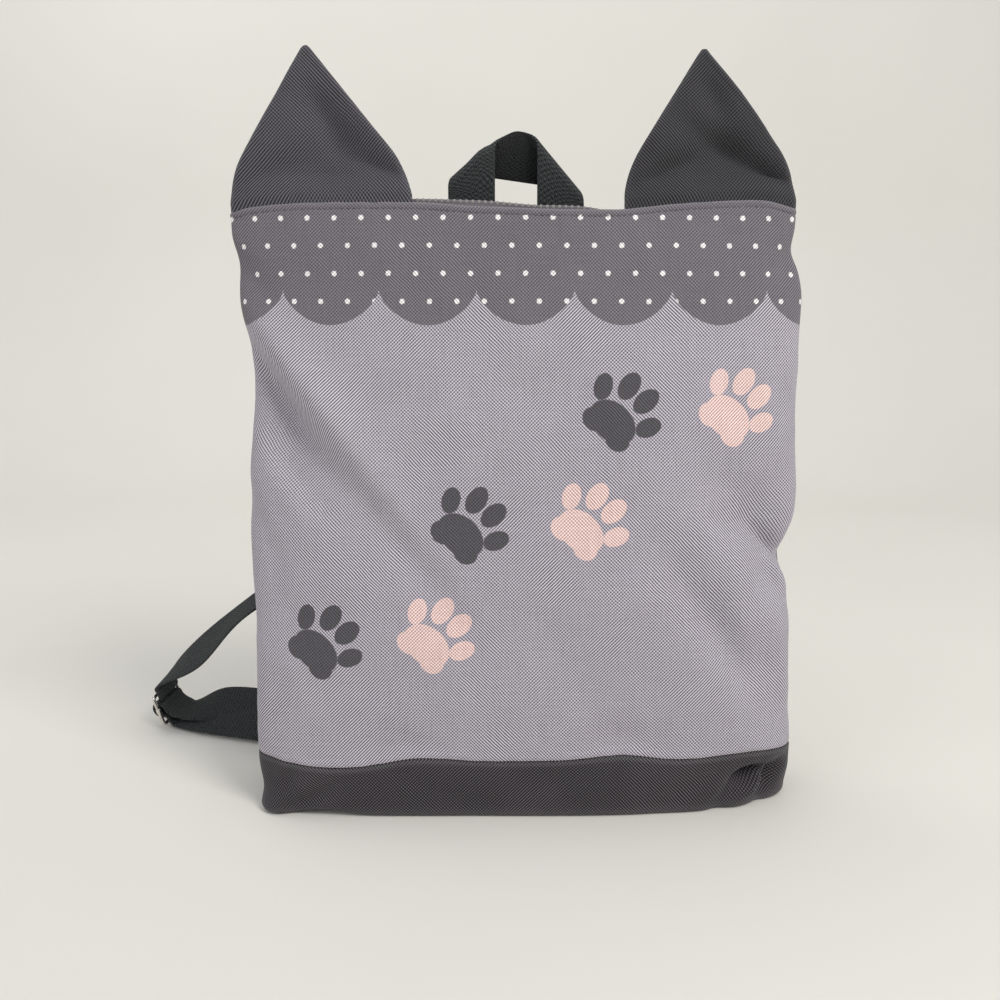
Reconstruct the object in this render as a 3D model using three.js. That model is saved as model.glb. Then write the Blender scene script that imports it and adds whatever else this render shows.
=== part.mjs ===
// A child's flat backpack with two pointed ears, an open zip along the top, a folded webbing
// handle and two shoulder straps. Millimetres, +Z up, the front faces -Y, and the origin is
// the middle of the flat underside.

import * as THREE from "three";

// Bag body
const bodyWidth = 298;
const bodyHeight = 322;
const bodyDepth = 80;
const stripHeight = 33;
const panelWall = 1.6;
const baseWall = 2;
const baseEdgeRound = 4;
const foldDepth = 10;
const topWave = 4;
const stripWave = 4;

// Clearance where two pieces are sewn face to face
const seamGap = 0.3;
// Clearance between pieces whose curved faces follow each other
const layGap = 0.6;

// Ears
const earWidth = 93;
const earHeight = 77;
const earWall = 2.6;
const earHollow = 9;
// Middles of the ears, as shares of half the body width
const earMiddles = { left: -0.698, right: 0.6335 };
// Shares of the ear height over which an ear leaves the line of its seat and its hollows begin
const earSeatShare = 0.083;
const earHollowShare = 0.167;

// Zip
const tapeWidth = 12;
const tapeWall = 1;
const teethHigh = 1.8;
const teethWide = 2.6;
const zipStand = 4;
const zipLean = 1.4;
const zipReach = 0.84;
const sliderLength = 9;
const sliderWide = 7;
const sliderThick = 5;
const pullWide = 5;

// Webbing
const webbingWidth = 25;
const webbingWall = 1.6;

// Grab handle
const handleGap = 22.5;
const handleRise = 23;
const handleFoldRadius = 4;
const handleTilt = THREE.MathUtils.degToRad(8);
const handleSewn = 20;
const handleAside = 2;

// Shoulder straps
const strapAside = 54;
const strapSewn = 24;
const strapBelowTop = 2;
const strapBow = 60;

// Metal strap fittings, with play beside the webbing in their slots
const fittingPlay = 0.6;
const fittingSide = 2.4;
const fittingBar = 3;
const fittingThick = 2.2;
const ringSlot = 8;
const glideSlot = 6.8;
const turnRadius = 3;
const tabLength = 28;
const tabHeight = 16;
const tabFromSide = 55;
// Shares of tabLength: where the two layers of a tab lie, and the ring beyond them
const tabShares = [0, 0.18, 0.35];
const ringShare = 0.75;

// How finely the pieces are divided
const frontGrid = { columns: 36, rows: 20 };
const backGrid = { columns: 24, rows: 14 };
const baseColumns = 48;
const earColumns = 12;
const zipColumns = 24;
const quarterSteps = 40;

// Sections of the body, a row for each height. The widths are shares of half the body width,
// the depths are shares of half the body depth, and square is the corner exponent.
const sections = [
  { up: 0.0, left: 0.95, right: 1.0, front: 0.99, back: 0.98, squareLeft: 8.0, squareRight: 2.5 },
  { up: 0.1, left: 0.983, right: 1.008, front: 1.0, back: 0.98, squareLeft: 6.0, squareRight: 3.5 },
  { up: 0.3, left: 0.986, right: 0.97, front: 0.97, back: 0.94, squareLeft: 4.2, squareRight: 3.8 },
  { up: 0.5, left: 0.998, right: 0.985, front: 0.86, back: 0.84, squareLeft: 3.4, squareRight: 3.4 },
  { up: 0.7, left: 0.988, right: 0.972, front: 0.7, back: 0.7, squareLeft: 3.0, squareRight: 3.0 },
  { up: 0.85, left: 1.004, right: 0.978, front: 0.54, back: 0.54, squareLeft: 2.7, squareRight: 2.7 },
  { up: 0.94, left: 1.03, right: 0.957, front: 0.42, back: 0.42, squareLeft: 2.3, squareRight: 2.3 },
  { up: 1.0, left: 1.036, right: 0.95, front: 0.34, back: 0.34, squareLeft: 2.0, squareRight: 2.0 },
];

// Rise of the top edge along the width, as shares of half the width and of topWave
const topLine = [
  { across: -1.03, rise: -0.9 },
  { across: -0.94, rise: -0.2 },
  { across: -0.77, rise: 0.2 },
  { across: -0.38, rise: 0.2 },
  { across: -0.15, rise: -0.35 },
  { across: 0.3, rise: -0.7 },
  { across: 0.5, rise: 0 },
  { across: 0.75, rise: 0.55 },
  { across: 0.84, rise: 0.5 },
  { across: 0.95, rise: -0.4 },
];

// Rise of the seam above the base strip on the front, as shares of half the width and stripWave
const stripLine = [
  { across: -1.0, rise: -0.1 },
  { across: -0.72, rise: -1.1 },
  { across: -0.58, rise: -0.9 },
  { across: -0.37, rise: 0.15 },
  { across: -0.14, rise: -0.1 },
  { across: 0.13, rise: 0.0 },
  { across: 0.35, rise: 0.55 },
  { across: 0.55, rise: 0.0 },
  { across: 0.79, rise: 0.4 },
  { across: 1.0, rise: 0.2 },
];

// Dents and folds of the cloth. x is a share of half the width, up and the two lengths are
// shares of the body height, deep is a share of foldDepth, and turn is in degrees from level.
// side is -1 for the front, 1 for the back and 0 for both.
const folds = [
  { name: "left hollow", side: -1, x: -0.8, up: 0.62, long: 0.14, wide: 0.05, turn: -52, deep: 0.75 },
  { name: "left ridge", side: -1, x: -0.74, up: 0.72, long: 0.16, wide: 0.035, turn: -50, deep: -0.35 },
  { name: "left crease", side: -1, x: -0.32, up: 0.4, long: 0.13, wide: 0.03, turn: -54, deep: 0.22 },
  { name: "left edge", side: 0, x: -1.0, up: 0.73, long: 0.12, wide: 0.08, turn: 80, deep: 0.18 },
  { name: "right pinch", side: 0, x: 0.98, up: 0.42, long: 0.1, wide: 0.045, turn: 20, deep: 0.65 },
  { name: "right hollow", side: -1, x: 0.84, up: 0.475, long: 0.12, wide: 0.045, turn: 128, deep: 0.75 },
  { name: "right bulge", side: -1, x: 0.8, up: 0.36, long: 0.1, wide: 0.05, turn: 120, deep: -0.5 },
  { name: "right crease", side: -1, x: 0.73, up: 0.29, long: 0.13, wide: 0.03, turn: -58, deep: 0.35 },
  { name: "dimple left", side: -1, x: -0.42, up: 0.125, long: 0.06, wide: 0.03, turn: 0, deep: 0.3 },
  { name: "dimple right", side: -1, x: 0.36, up: 0.13, long: 0.06, wide: 0.035, turn: 0, deep: 0.3 },
  { name: "corner left", side: 0, x: -0.99, up: 0.9, long: 0.05, wide: 0.022, turn: -48, deep: 0.3 },
  { name: "corner right", side: 0, x: 0.95, up: 0.93, long: 0.05, wide: 0.022, turn: 48, deep: 0.3 },
  { name: "base right", side: -1, x: 0.86, up: 0.045, long: 0.05, wide: 0.03, turn: -25, deep: 0.5 },
  { name: "base left", side: -1, x: -0.95, up: 0.06, long: 0.05, wide: 0.025, turn: 60, deep: 0.25 },
  { name: "back hollow", side: 1, x: 0.25, up: 0.55, long: 0.22, wide: 0.1, turn: 70, deep: 0.5 },
  { name: "back crease", side: 1, x: -0.45, up: 0.35, long: 0.16, wide: 0.05, turn: -60, deep: 0.4 },
];

// Outlines of the two ears, as shares of half the ear width and of the ear height
const leftEarRows = [
  { up: 0.0, from: -1.05, to: 1.0 },
  { up: 0.1, from: -1.03, to: 0.967 },
  { up: 0.2, from: -0.995, to: 0.9 },
  { up: 0.31, from: -0.92, to: 0.805 },
  { up: 0.5, from: -0.715, to: 0.55 },
  { up: 0.75, from: -0.445, to: 0.22 },
  { up: 0.93, from: -0.25, to: -0.018 },
  { up: 0.985, from: -0.19, to: -0.09 },
  { up: 1.0, from: -0.16, to: -0.12 },
];
const rightEarRows = [
  { up: 0.0, from: -0.95, to: 1.0 },
  { up: 0.1, from: -0.945, to: 0.97 },
  { up: 0.22, from: -0.9, to: 0.91 },
  { up: 0.34, from: -0.81, to: 0.8 },
  { up: 0.5, from: -0.645, to: 0.6 },
  { up: 0.72, from: -0.41, to: 0.305 },
  { up: 0.9, from: -0.22, to: 0.035 },
  { up: 0.96, from: -0.155, to: -0.055 },
  { up: 0.978, from: -0.13, to: -0.08 },
];

// Hollows and rims of the ears. across and the two spreads are shares of half the ear width and
// of the ear height, back is a share of earHollow and is positive to the back.
const leftEarHollows = [
  { across: 0.05, up: 0.2, spreadAcross: 0.5, spreadUp: 0.2, back: 0.8 },
  { across: 0.5, up: 0.42, spreadAcross: 0.3, spreadUp: 0.25, back: -0.35 },
  { across: -0.1, up: 1.0, spreadAcross: 0.6, spreadUp: 0.4, back: 0.3 },
];
const rightEarHollows = [
  { across: 0.1, up: 0.22, spreadAcross: 0.55, spreadUp: 0.2, back: 0.8 },
  { across: -0.55, up: 0.38, spreadAcross: 0.3, spreadUp: 0.25, back: -0.35 },
  { across: -0.1, up: 1.0, spreadAcross: 0.6, spreadUp: 0.4, back: 0.4 },
];

// How high the two halves of the open zip stand over the top edge, as a share of zipStand
const frontZipLine = [
  { across: -1.0, stand: 0.35 },
  { across: -0.38, stand: 0.65 },
  { across: -0.15, stand: 0.95 },
  { across: 0.03, stand: 0.65 },
  { across: 0.19, stand: 0.6 },
  { across: 0.3, stand: 0.0 },
  { across: 0.42, stand: -0.35 },
  { across: 1.0, stand: -0.35 },
];
const backZipLine = [
  { across: -1.0, stand: 0.35 },
  { across: 0.0, stand: 0.6 },
  { across: 1.0, stand: -0.2 },
];

// The webbing's way through a strap glide: along the glide, and out from its plane, in shares
// of the glide's bar spacing. The rows run from the middle bar to one end.
const threading = [
  { along: 0.0, out: 0.48 },
  { along: 0.29, out: 0.39 },
  { along: 0.47, out: 0.17 },
  { along: 0.52, out: -0.04 },
  { along: 0.71, out: -0.25 },
  { along: 1.05, out: -0.31 },
  { along: 1.55, out: -0.36 },
];

// Where the webbing leaves the glide for the floor, in the same shares
const floorExit = { along: -1.22, out: -0.52 };

// The sewn end of the webbing round the glide's middle bar, in the same shares
const sewnEnd = [
  { along: -0.95, out: -1.25 },
  { along: -0.68, out: -0.74 },
  { along: -0.4, out: -0.46 },
  { along: -0.14, out: -0.31 },
  { along: 0.16, out: -0.26 },
  { along: 0.3, out: 0.0 },
  { along: 0.16, out: 0.25 },
  { along: -0.12, out: 0.27 },
];

// Free runs of the straps. along runs from the start of a run to its end, the three offsets
// are shares of strapBow, and the face columns give the direction across the webbing.
const leftUpperRun = [
  { along: 0.12, x: 0.25, y: 0.15, z: -0.07, faceX: -0.98, faceY: 0.2, faceZ: 0.0 },
  { along: 0.3, x: 0.55, y: 0.25, z: -0.13, faceX: -0.93, faceY: 0.36, faceZ: 0.05 },
  { along: 0.5, x: 0.72, y: 0.2, z: -0.22, faceX: -0.7, faceY: 0.68, faceZ: 0.2 },
  { along: 0.66, x: 0.63, y: 0.05, z: -0.15, faceX: -0.35, faceY: 0.9, faceZ: 0.22 },
  { along: 0.8, x: 0.42, y: -0.13, z: 0.02, faceX: -0.15, faceY: 0.97, faceZ: 0.2 },
  { along: 0.91, x: 0.18, y: -0.05, z: -0.03, faceX: -0.35, faceY: 0.86, faceZ: 0.36 },
];
const leftFloorRun = [
  { along: 0.22, x: 0.0, y: -0.04, z: 0.0, faceX: 0.25, faceY: 0.85, faceZ: 0.4 },
  { along: 0.6, x: 0.0, y: -0.02, z: -0.02, faceX: 0.2, faceY: 0.72, faceZ: 0.62 },
  { along: 0.86, x: 0.0, y: 0.0, z: -0.02, faceX: 0.08, faceY: 0.3, faceZ: 0.95 },
];
const leftReturnRun = [
  { along: 0.14, x: 0.0, y: 0.02, z: 0.02, faceX: 0.0, faceY: 0.15, faceZ: 0.98 },
  { along: 0.42, x: 0.0, y: 0.06, z: 0.05, faceX: 0.1, faceY: 0.45, faceZ: 0.88 },
  { along: 0.76, x: 0.0, y: 0.06, z: 0.06, faceX: 0.2, faceY: 0.7, faceZ: 0.65 },
];
const rightUpperRun = [
  { along: 0.15, x: 0.0, y: 0.35, z: 0.05, faceX: -1.0, faceY: 0.0, faceZ: 0.0 },
  { along: 0.35, x: 0.12, y: 0.72, z: 0.05, faceX: -1.0, faceY: 0.0, faceZ: 0.0 },
  { along: 0.58, x: 0.3, y: 0.72, z: -0.1, faceX: -0.95, faceY: 0.3, faceZ: 0.1 },
  { along: 0.8, x: 0.32, y: 0.35, z: -0.3, faceX: -0.75, faceY: 0.65, faceZ: 0.2 },
  { along: 0.92, x: 0.15, y: 0.05, z: -0.12, faceX: -0.35, faceY: 0.88, faceZ: 0.3 },
];
const rightFloorRun = [
  { along: 0.25, x: 0.0, y: 0.05, z: 0.02, faceX: -0.1, faceY: 0.85, faceZ: 0.5 },
  { along: 0.62, x: 0.12, y: 0.1, z: 0.02, faceX: -0.1, faceY: 0.4, faceZ: 0.88 },
];
const rightReturnRun = [
  { along: 0.38, x: 0.12, y: 0.18, z: 0.03, faceX: -0.1, faceY: 0.2, faceZ: 0.97 },
  { along: 0.75, x: 0.0, y: 0.14, z: 0.04, faceX: -0.2, faceY: 0.6, faceZ: 0.75 },
];

// Where each strap's fittings sit. The ring's place is measured from the back of the bag, and
// the glide's place from the ring, all as shares of strapLoop.
const strapLoop = 112;
const strapSides = [
  {
    name: "left", side: -1, upperRun: leftUpperRun, floorRun: leftFloorRun, returnRun: leftReturnRun,
    ringPoints: new THREE.Vector3(-0.86, 0.5, 0),
    glideX: -0.99, glideY: 0.375, glideZ: -0.01,
    glideUp: new THREE.Vector3(-0.3, -0.08, 0.95), glideOut: new THREE.Vector3(-0.94, 0.2, -0.28),
  },
  {
    name: "right", side: 1, upperRun: rightUpperRun, floorRun: rightFloorRun, returnRun: rightReturnRun,
    ringPoints: new THREE.Vector3(-0.1, 0.99, 0),
    glideX: -0.95, glideY: 0.5, glideZ: 0,
    glideUp: new THREE.Vector3(-0.2, -0.1, 0.97), glideOut: new THREE.Vector3(-0.94, 0.3, -0.16),
  },
];

// Finishes
const canvasPrinted = { color: 0xa59dab, roughness: 0.85, metalness: 0 };
const canvasDark = { color: 0x4b4a4f, roughness: 0.85, metalness: 0 };
const canvasBase = { color: 0x3a373b, roughness: 0.85, metalness: 0 };
const webbingDark = { color: 0x232527, roughness: 0.9, metalness: 0 };
const zipTape = { color: 0x746f76, roughness: 0.8, metalness: 0 };
const zipPlastic = { color: 0x9a9590, roughness: 0.45, metalness: 0 };
const nickel = { color: 0xc9c6c0, roughness: 0.25, metalness: 1 };

const bag = new THREE.Group();

function addPiece(name, geometry, finish) {
  const mesh = new THREE.Mesh(geometry, new THREE.MeshStandardMaterial(finish));
  mesh.name = name;
  bag.add(mesh);
  return mesh;
}

// Reads one column of a table at a place between its rows, on a smooth curve through them
function sample(rows, key, column, at) {
  const last = rows.length - 1;
  const place = THREE.MathUtils.clamp(at, rows[0][key], rows[last][key]);
  let i = 0;
  while (i < last - 1 && place > rows[i + 1][key]) {
    i += 1;
  }
  const slope = (j) => {
    const before = rows[Math.max(j - 1, 0)];
    const after = rows[Math.min(j + 1, last)];
    return (after[column] - before[column]) / (after[key] - before[key]);
  };
  const span = rows[i + 1][key] - rows[i][key];
  const t = (place - rows[i][key]) / span;
  const t2 = t * t;
  const t3 = t2 * t;
  return (
    (2 * t3 - 3 * t2 + 1) * rows[i][column] +
    (t3 - 2 * t2 + t) * span * slope(i) +
    (3 * t2 - 2 * t3) * rows[i + 1][column] +
    (t3 - t2) * span * slope(i + 1)
  );
}

// A point on a quarter of a superellipse, a share of the way along it from (a, 0) to (0, b)
function quarterPoint(a, b, square, share) {
  const points = [];
  const reach = [0];
  for (let i = 0; i <= quarterSteps; i += 1) {
    const angle = (i / quarterSteps) * (Math.PI / 2);
    const x = a * Math.pow(Math.cos(angle), 2 / square);
    const y = b * Math.pow(Math.sin(angle), 2 / square);
    points.push([i === quarterSteps ? 0 : x, y]);
    if (i > 0) {
      reach.push(reach[i - 1] + Math.hypot(points[i][0] - points[i - 1][0], y - points[i - 1][1]));
    }
  }
  const want = share * reach[quarterSteps];
  let i = 1;
  while (i < quarterSteps && reach[i] < want) {
    i += 1;
  }
  const t = (want - reach[i - 1]) / (reach[i] - reach[i - 1]);
  return [
    points[i - 1][0] + t * (points[i][0] - points[i - 1][0]),
    points[i - 1][1] + t * (points[i][1] - points[i - 1][1]),
  ];
}

// The body without its folds. turn counts quarters round the bag: 0 is the right seam, 1 the
// middle of the back, 2 the left seam, 3 the middle of the front and 4 the right seam again.
function smoothSkin(turn, height) {
  const up = height / bodyHeight;
  const pick = (column) => sample(sections, "up", column, up);
  const wrapped = ((turn % 4) + 4) % 4;
  const quarter = Math.floor(wrapped);
  const share = wrapped - quarter;
  const onRight = quarter === 0 || quarter === 3;
  const onBack = quarter < 2;
  const a = (onRight ? pick("right") : pick("left")) * (bodyWidth / 2);
  const b = (onBack ? pick("back") : pick("front")) * (bodyDepth / 2);
  const square = onRight ? pick("squareRight") : pick("squareLeft");
  const fromSide = quarter === 0 || quarter === 2;
  const [x, y] = quarterPoint(a, b, square, fromSide ? share : 1 - share);
  return new THREE.Vector3(onRight ? x : -x, onBack ? y : -y, height);
}

function outwardNormal(surface, turn, height) {
  const step = 0.02;
  const lift = 1;
  const round = surface(turn + step, height).sub(surface(turn - step, height));
  const rise = surface(turn, height + lift).sub(surface(turn, height - lift));
  return round.cross(rise).normalize();
}

// How deep the folds push the cloth in at a point. A fold of one side fades out past the seams.
function foldPush(point) {
  const fadeFrom = -0.1;
  const fadeTo = 0.3;
  const frontness = -point.y / (bodyDepth / 2);
  let push = 0;
  for (const fold of folds) {
    const onSide = THREE.MathUtils.smoothstep(-fold.side * frontness, fadeFrom, fadeTo);
    const facing = fold.side === 0 ? 1 : onSide;
    const angle = THREE.MathUtils.degToRad(fold.turn);
    const dx = point.x - fold.x * (bodyWidth / 2);
    const dz = point.z - fold.up * bodyHeight;
    const along = (dx * Math.cos(angle) + dz * Math.sin(angle)) / (fold.long * bodyHeight);
    const aside = (dz * Math.cos(angle) - dx * Math.sin(angle)) / (fold.wide * bodyHeight);
    push += facing * fold.deep * foldDepth * Math.exp(-along * along - aside * aside);
  }
  return push;
}

// The outer face of the cloth, with its folds
function skin(turn, height) {
  const point = smoothSkin(turn, height);
  const normal = outwardNormal(smoothSkin, turn, height);
  return point.addScaledVector(normal, -foldPush(point));
}

// A point under the outer face, at a depth along the normal
function underSkin(turn, height, depth) {
  return skin(turn, height).addScaledVector(outwardNormal(skin, turn, height), -depth);
}

// How far a place is from the side seams, from 0 at a seam to 1 on the front
function frontShare(turn) {
  const fullFrom = 0.3;
  return THREE.MathUtils.smoothstep(Math.min(turn - 2, 4 - turn), 0, fullFrom);
}

function topEdge(turn) {
  const across = smoothSkin(turn, bodyHeight).x / (bodyWidth / 2);
  return bodyHeight + topWave * sample(topLine, "across", "rise", across);
}

function stripEdge(turn) {
  const across = smoothSkin(turn, stripHeight).x / (bodyWidth / 2);
  return stripHeight + frontShare(turn) * stripWave * sample(stripLine, "across", "rise", across);
}

// The turn at which the skin reaches a given x, on the front or on the back
function turnAt(x, height, onBack) {
  const halvings = 24;
  let low = onBack ? 0 : 2;
  let high = onBack ? 2 : 4;
  for (let i = 0; i < halvings; i += 1) {
    const middle = (low + high) / 2;
    const tooFarRight = smoothSkin(middle, height).x > x;
    if (tooFarRight === onBack) {
      low = middle;
    } else {
      high = middle;
    }
  }
  return (low + high) / 2;
}

// Closes two grids of points, an outer and an inner, into one solid
function shellSolid(outer, inner) {
  const rows = outer.length;
  const columns = outer[0].length;
  const positions = [];
  for (const grid of [outer, inner]) {
    for (const row of grid) {
      for (const point of row) {
        positions.push(point.x, point.y, point.z);
      }
    }
  }
  const outerAt = (i, j) => i * columns + j;
  const innerAt = (i, j) => rows * columns + i * columns + j;
  const index = [];
  const quad = (a, b, c, d) => index.push(a, b, c, a, c, d);
  for (let i = 0; i < rows - 1; i += 1) {
    for (let j = 0; j < columns - 1; j += 1) {
      quad(outerAt(i, j), outerAt(i, j + 1), outerAt(i + 1, j + 1), outerAt(i + 1, j));
      quad(innerAt(i, j), innerAt(i + 1, j), innerAt(i + 1, j + 1), innerAt(i, j + 1));
    }
  }
  const lastRow = rows - 1;
  const lastColumn = columns - 1;
  for (let j = 0; j < lastColumn; j += 1) {
    quad(outerAt(0, j), innerAt(0, j), innerAt(0, j + 1), outerAt(0, j + 1));
    quad(outerAt(lastRow, j), outerAt(lastRow, j + 1), innerAt(lastRow, j + 1), innerAt(lastRow, j));
  }
  for (let i = 0; i < lastRow; i += 1) {
    const j = lastColumn;
    quad(outerAt(i, 0), outerAt(i + 1, 0), innerAt(i + 1, 0), innerAt(i, 0));
    quad(outerAt(i, j), innerAt(i, j), innerAt(i + 1, j), outerAt(i + 1, j));
  }
  return outwardGeometry(positions, index);
}

// Makes the geometry, with its triangles turned to face outwards
function outwardGeometry(positions, index) {
  const at = (i) => new THREE.Vector3(positions[3 * i], positions[3 * i + 1], positions[3 * i + 2]);
  let volume = 0;
  for (let i = 0; i < index.length; i += 3) {
    volume += at(index[i]).dot(at(index[i + 1]).cross(at(index[i + 2])));
  }
  if (volume < 0) {
    for (let i = 0; i < index.length; i += 3) {
      [index[i + 1], index[i + 2]] = [index[i + 2], index[i + 1]];
    }
  }
  const geometry = new THREE.BufferGeometry();
  geometry.setAttribute("position", new THREE.Float32BufferAttribute(positions, 3));
  geometry.setIndex(index);
  geometry.computeVertexNormals();
  return geometry;
}

// Thickens a grid of points on the middle of a sheet, half to each side
function sheetSolid(middle, wall) {
  const rows = middle.length;
  const columns = middle[0].length;
  const shift = (amount) =>
    middle.map((row, i) =>
      row.map((point, j) => {
        const across = new THREE.Vector3().subVectors(
          row[Math.min(j + 1, columns - 1)],
          row[Math.max(j - 1, 0)],
        );
        const along = new THREE.Vector3().subVectors(
          middle[Math.min(i + 1, rows - 1)][j],
          middle[Math.max(i - 1, 0)][j],
        );
        return point.clone().addScaledVector(across.cross(along).normalize(), amount);
      }),
    );
  return shellSolid(shift(wall / 2), shift(-wall / 2));
}

function evenSteps(from, to, count) {
  return Array.from({ length: count + 1 }, (_, i) => from + ((to - from) * i) / count);
}

// One cloth panel of the body, two quarters round, from the base strip to the top edge.
// sideShift is half the clearance at a side seam, as a share of a quarter.
function bodyPanel(fromTurn, divisions) {
  const sideShift = 0.003;
  const turns = evenSteps(fromTurn + sideShift, fromTurn + 2 - sideShift, divisions.columns);
  const grid = (depth) =>
    evenSteps(0, 1, divisions.rows).map((share) =>
      turns.map((turn) => {
        const height = THREE.MathUtils.lerp(stripEdge(turn), topEdge(turn), share);
        return underSkin(turn, height, depth);
      }),
    );
  return shellSolid(grid(0), grid(panelWall));
}

// The base is one tray: a flat bottom with a round edge and a low wall. The shares give the
// places of its rings, of the way out from the middle and of the height of the wall.
function basePanel() {
  const underside = [0.45, 0.85, 1];
  const outerWall = [0, 0.25, 0.5, 0.75, 1];
  const innerWall = [1, 0.5, 0];
  const floorInside = [1, 0.5];
  const columns = baseColumns;
  const rings = [];
  const turns = evenSteps(0, 4, columns).slice(0, columns);
  const flatOutwards = (turn, height) => outwardNormal(smoothSkin, turn, height).setZ(0).normalize();
  const bottomRing = (share, height, inset) =>
    turns.map((turn) => {
      const edge = smoothSkin(turn, baseEdgeRound).addScaledVector(
        flatOutwards(turn, baseEdgeRound),
        -inset,
      );
      return new THREE.Vector3(edge.x * share, edge.y * share, height);
    });
  const wallRing = (share, depth, lowest) =>
    turns.map((turn) => {
      const height = THREE.MathUtils.lerp(lowest, stripEdge(turn) - layGap, share);
      return underSkin(turn, height, depth);
    });
  for (const share of underside) {
    rings.push(bottomRing(share, 0, baseEdgeRound));
  }
  const cornerRise = baseEdgeRound * (1 - Math.SQRT1_2);
  rings.push(bottomRing(1, cornerRise, cornerRise));
  for (const share of outerWall) {
    rings.push(wallRing(share, 0, baseEdgeRound));
  }
  for (const share of innerWall) {
    rings.push(wallRing(share, baseWall, baseEdgeRound));
  }
  for (const share of floorInside) {
    rings.push(bottomRing(share, baseWall, baseEdgeRound + baseWall));
  }
  const positions = [0, 0, 0];
  for (const ring of rings) {
    for (const point of ring) {
      positions.push(point.x, point.y, point.z);
    }
  }
  positions.push(0, 0, baseWall);
  const lastPoint = rings.length * columns + 1;
  const at = (ring, column) => 1 + ring * columns + (column % columns);
  const index = [];
  for (let j = 0; j < columns; j += 1) {
    index.push(0, at(0, j + 1), at(0, j));
    for (let i = 0; i < rings.length - 1; i += 1) {
      index.push(at(i, j), at(i, j + 1), at(i + 1, j + 1));
      index.push(at(i, j), at(i + 1, j + 1), at(i + 1, j));
    }
    index.push(lastPoint, at(rings.length - 1, j), at(rings.length - 1, j + 1));
  }
  return outwardGeometry(positions, index);
}

// An ear stands on the top edge of the front panel, sewn flush with the panel's inner face
function ear(rows, hollows, middle) {
  const halfWidth = earWidth / 2;
  const middleX = middle * (bodyWidth / 2);
  const seat = (across) => {
    const turn = turnAt(middleX + across * halfWidth, bodyHeight, false);
    const height = topEdge(turn);
    const inset = panelWall - earWall / 2;
    return underSkin(turn, height, inset).setZ(height + layGap);
  };
  const tipY = seat((rows[0].from + rows[0].to) / 2).y;
  const grid = rows.map((row) =>
    evenSteps(0, 1, earColumns).map((share) => {
      const foot = seat(THREE.MathUtils.lerp(rows[0].from, rows[0].to, share));
      const across = THREE.MathUtils.lerp(row.from, row.to, share);
      let y = THREE.MathUtils.lerp(foot.y, tipY, row.up);
      for (const hollow of hollows) {
        const a = (across - hollow.across) / hollow.spreadAcross;
        const b = (row.up - hollow.up) / hollow.spreadUp;
        const begun = Math.min(1, row.up / earHollowShare);
        y += hollow.back * earHollow * Math.exp(-a * a - b * b) * begun;
      }
      const lean = foot.x - (middleX + across * halfWidth);
      const z = THREE.MathUtils.lerp(foot.z, bodyHeight + earHeight, row.up);
      return new THREE.Vector3(foot.x - lean * Math.min(1, row.up / earSeatShare), y, z);
    }),
  );
  return sheetSolid(grid, earWall);
}

// The line of one half of the zip: a tape inside the panel's top edge with teeth on the tape.
// The halves lean to the middle of the mouth, except near the ends.
function zipStations(onBack, line) {
  const endsPower = 4;
  const reach = zipReach * (bodyWidth / 2);
  const inwards = onBack ? -1 : 1;
  return evenSteps(-reach, reach, zipColumns).map((x) => {
    const turn = turnAt(x, bodyHeight, onBack);
    const edge = topEdge(turn);
    const depth = panelWall + layGap + tapeWall / 2;
    const stand = zipStand * sample(line, "across", "stand", x / (bodyWidth / 2));
    const ends = Math.pow(Math.abs(x) / reach, endsPower);
    const lean = inwards * zipLean * (1 - ends);
    const low = underSkin(turn, edge - tapeWidth + zipStand, depth);
    const high = underSkin(turn, edge, depth);
    return { low, high, stand, lean, inwards, edge };
  });
}

function zipTapeSolid(onBack, line) {
  const middleShare = 0.6;
  const grid = zipStations(onBack, line).map(({ low, high, stand, lean, edge }) => {
    const top = high.clone();
    top.z = edge + stand - teethHigh - seamGap;
    top.y += lean;
    const middle = low.clone().lerp(top, middleShare);
    return [low, middle, top];
  });
  return sheetSolid(grid, tapeWall);
}

function zipTeethSolid(onBack, line) {
  const grid = zipStations(onBack, line).map(({ high, stand, lean, inwards, edge }) => {
    const foot = high.clone();
    foot.z = edge + stand - teethHigh;
    foot.y += lean + (inwards * teethWide) / 4;
    const top = foot.clone();
    top.z += teethHigh;
    return [foot, top];
  });
  return sheetSolid(grid, teethWide);
}

// The slider waits at the right end of the open zip, with its pull lying to the side
function zipSlider() {
  const endX = zipReach * (bodyWidth / 2) + seamGap;
  const turn = turnAt(endX, bodyHeight, false);
  const shape = new THREE.Shape();
  const half = sliderWide / 2;
  const pullHalf = pullWide / 2;
  shape.moveTo(0, -half);
  shape.lineTo(sliderLength - half / 2, -half);
  shape.lineTo(sliderLength, -pullHalf);
  shape.lineTo(sliderLength, pullHalf);
  shape.lineTo(sliderLength - half / 2, half);
  shape.lineTo(0, half);
  const solid = new THREE.ExtrudeGeometry(shape, { depth: sliderThick, bevelEnabled: false });
  const behindEar = half - panelWall / 2;
  solid.translate(endX, behindEar, topEdge(turn) + layGap);
  return solid;
}

// Webbing swept along stations, each with a place and a direction across the webbing
function webbingSolid(stations) {
  const stepsBetween = 2;
  const places = new THREE.CatmullRomCurve3(stations.map((s) => s.place), false, "centripetal");
  const faces = new THREE.CatmullRomCurve3(stations.map((s) => s.across), false, "centripetal");
  const count = (stations.length - 1) * stepsBetween;
  const grid = evenSteps(0, 1, count).map((t) => {
    const place = places.getPoint(t);
    const tangent = places.getTangent(t);
    const across = faces.getPoint(t);
    across.addScaledVector(tangent, -across.dot(tangent)).normalize();
    return [-0.5, 0, 0.5].map((share) => place.clone().addScaledVector(across, share * webbingWidth));
  });
  return sheetSolid(grid, webbingWall);
}

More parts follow.
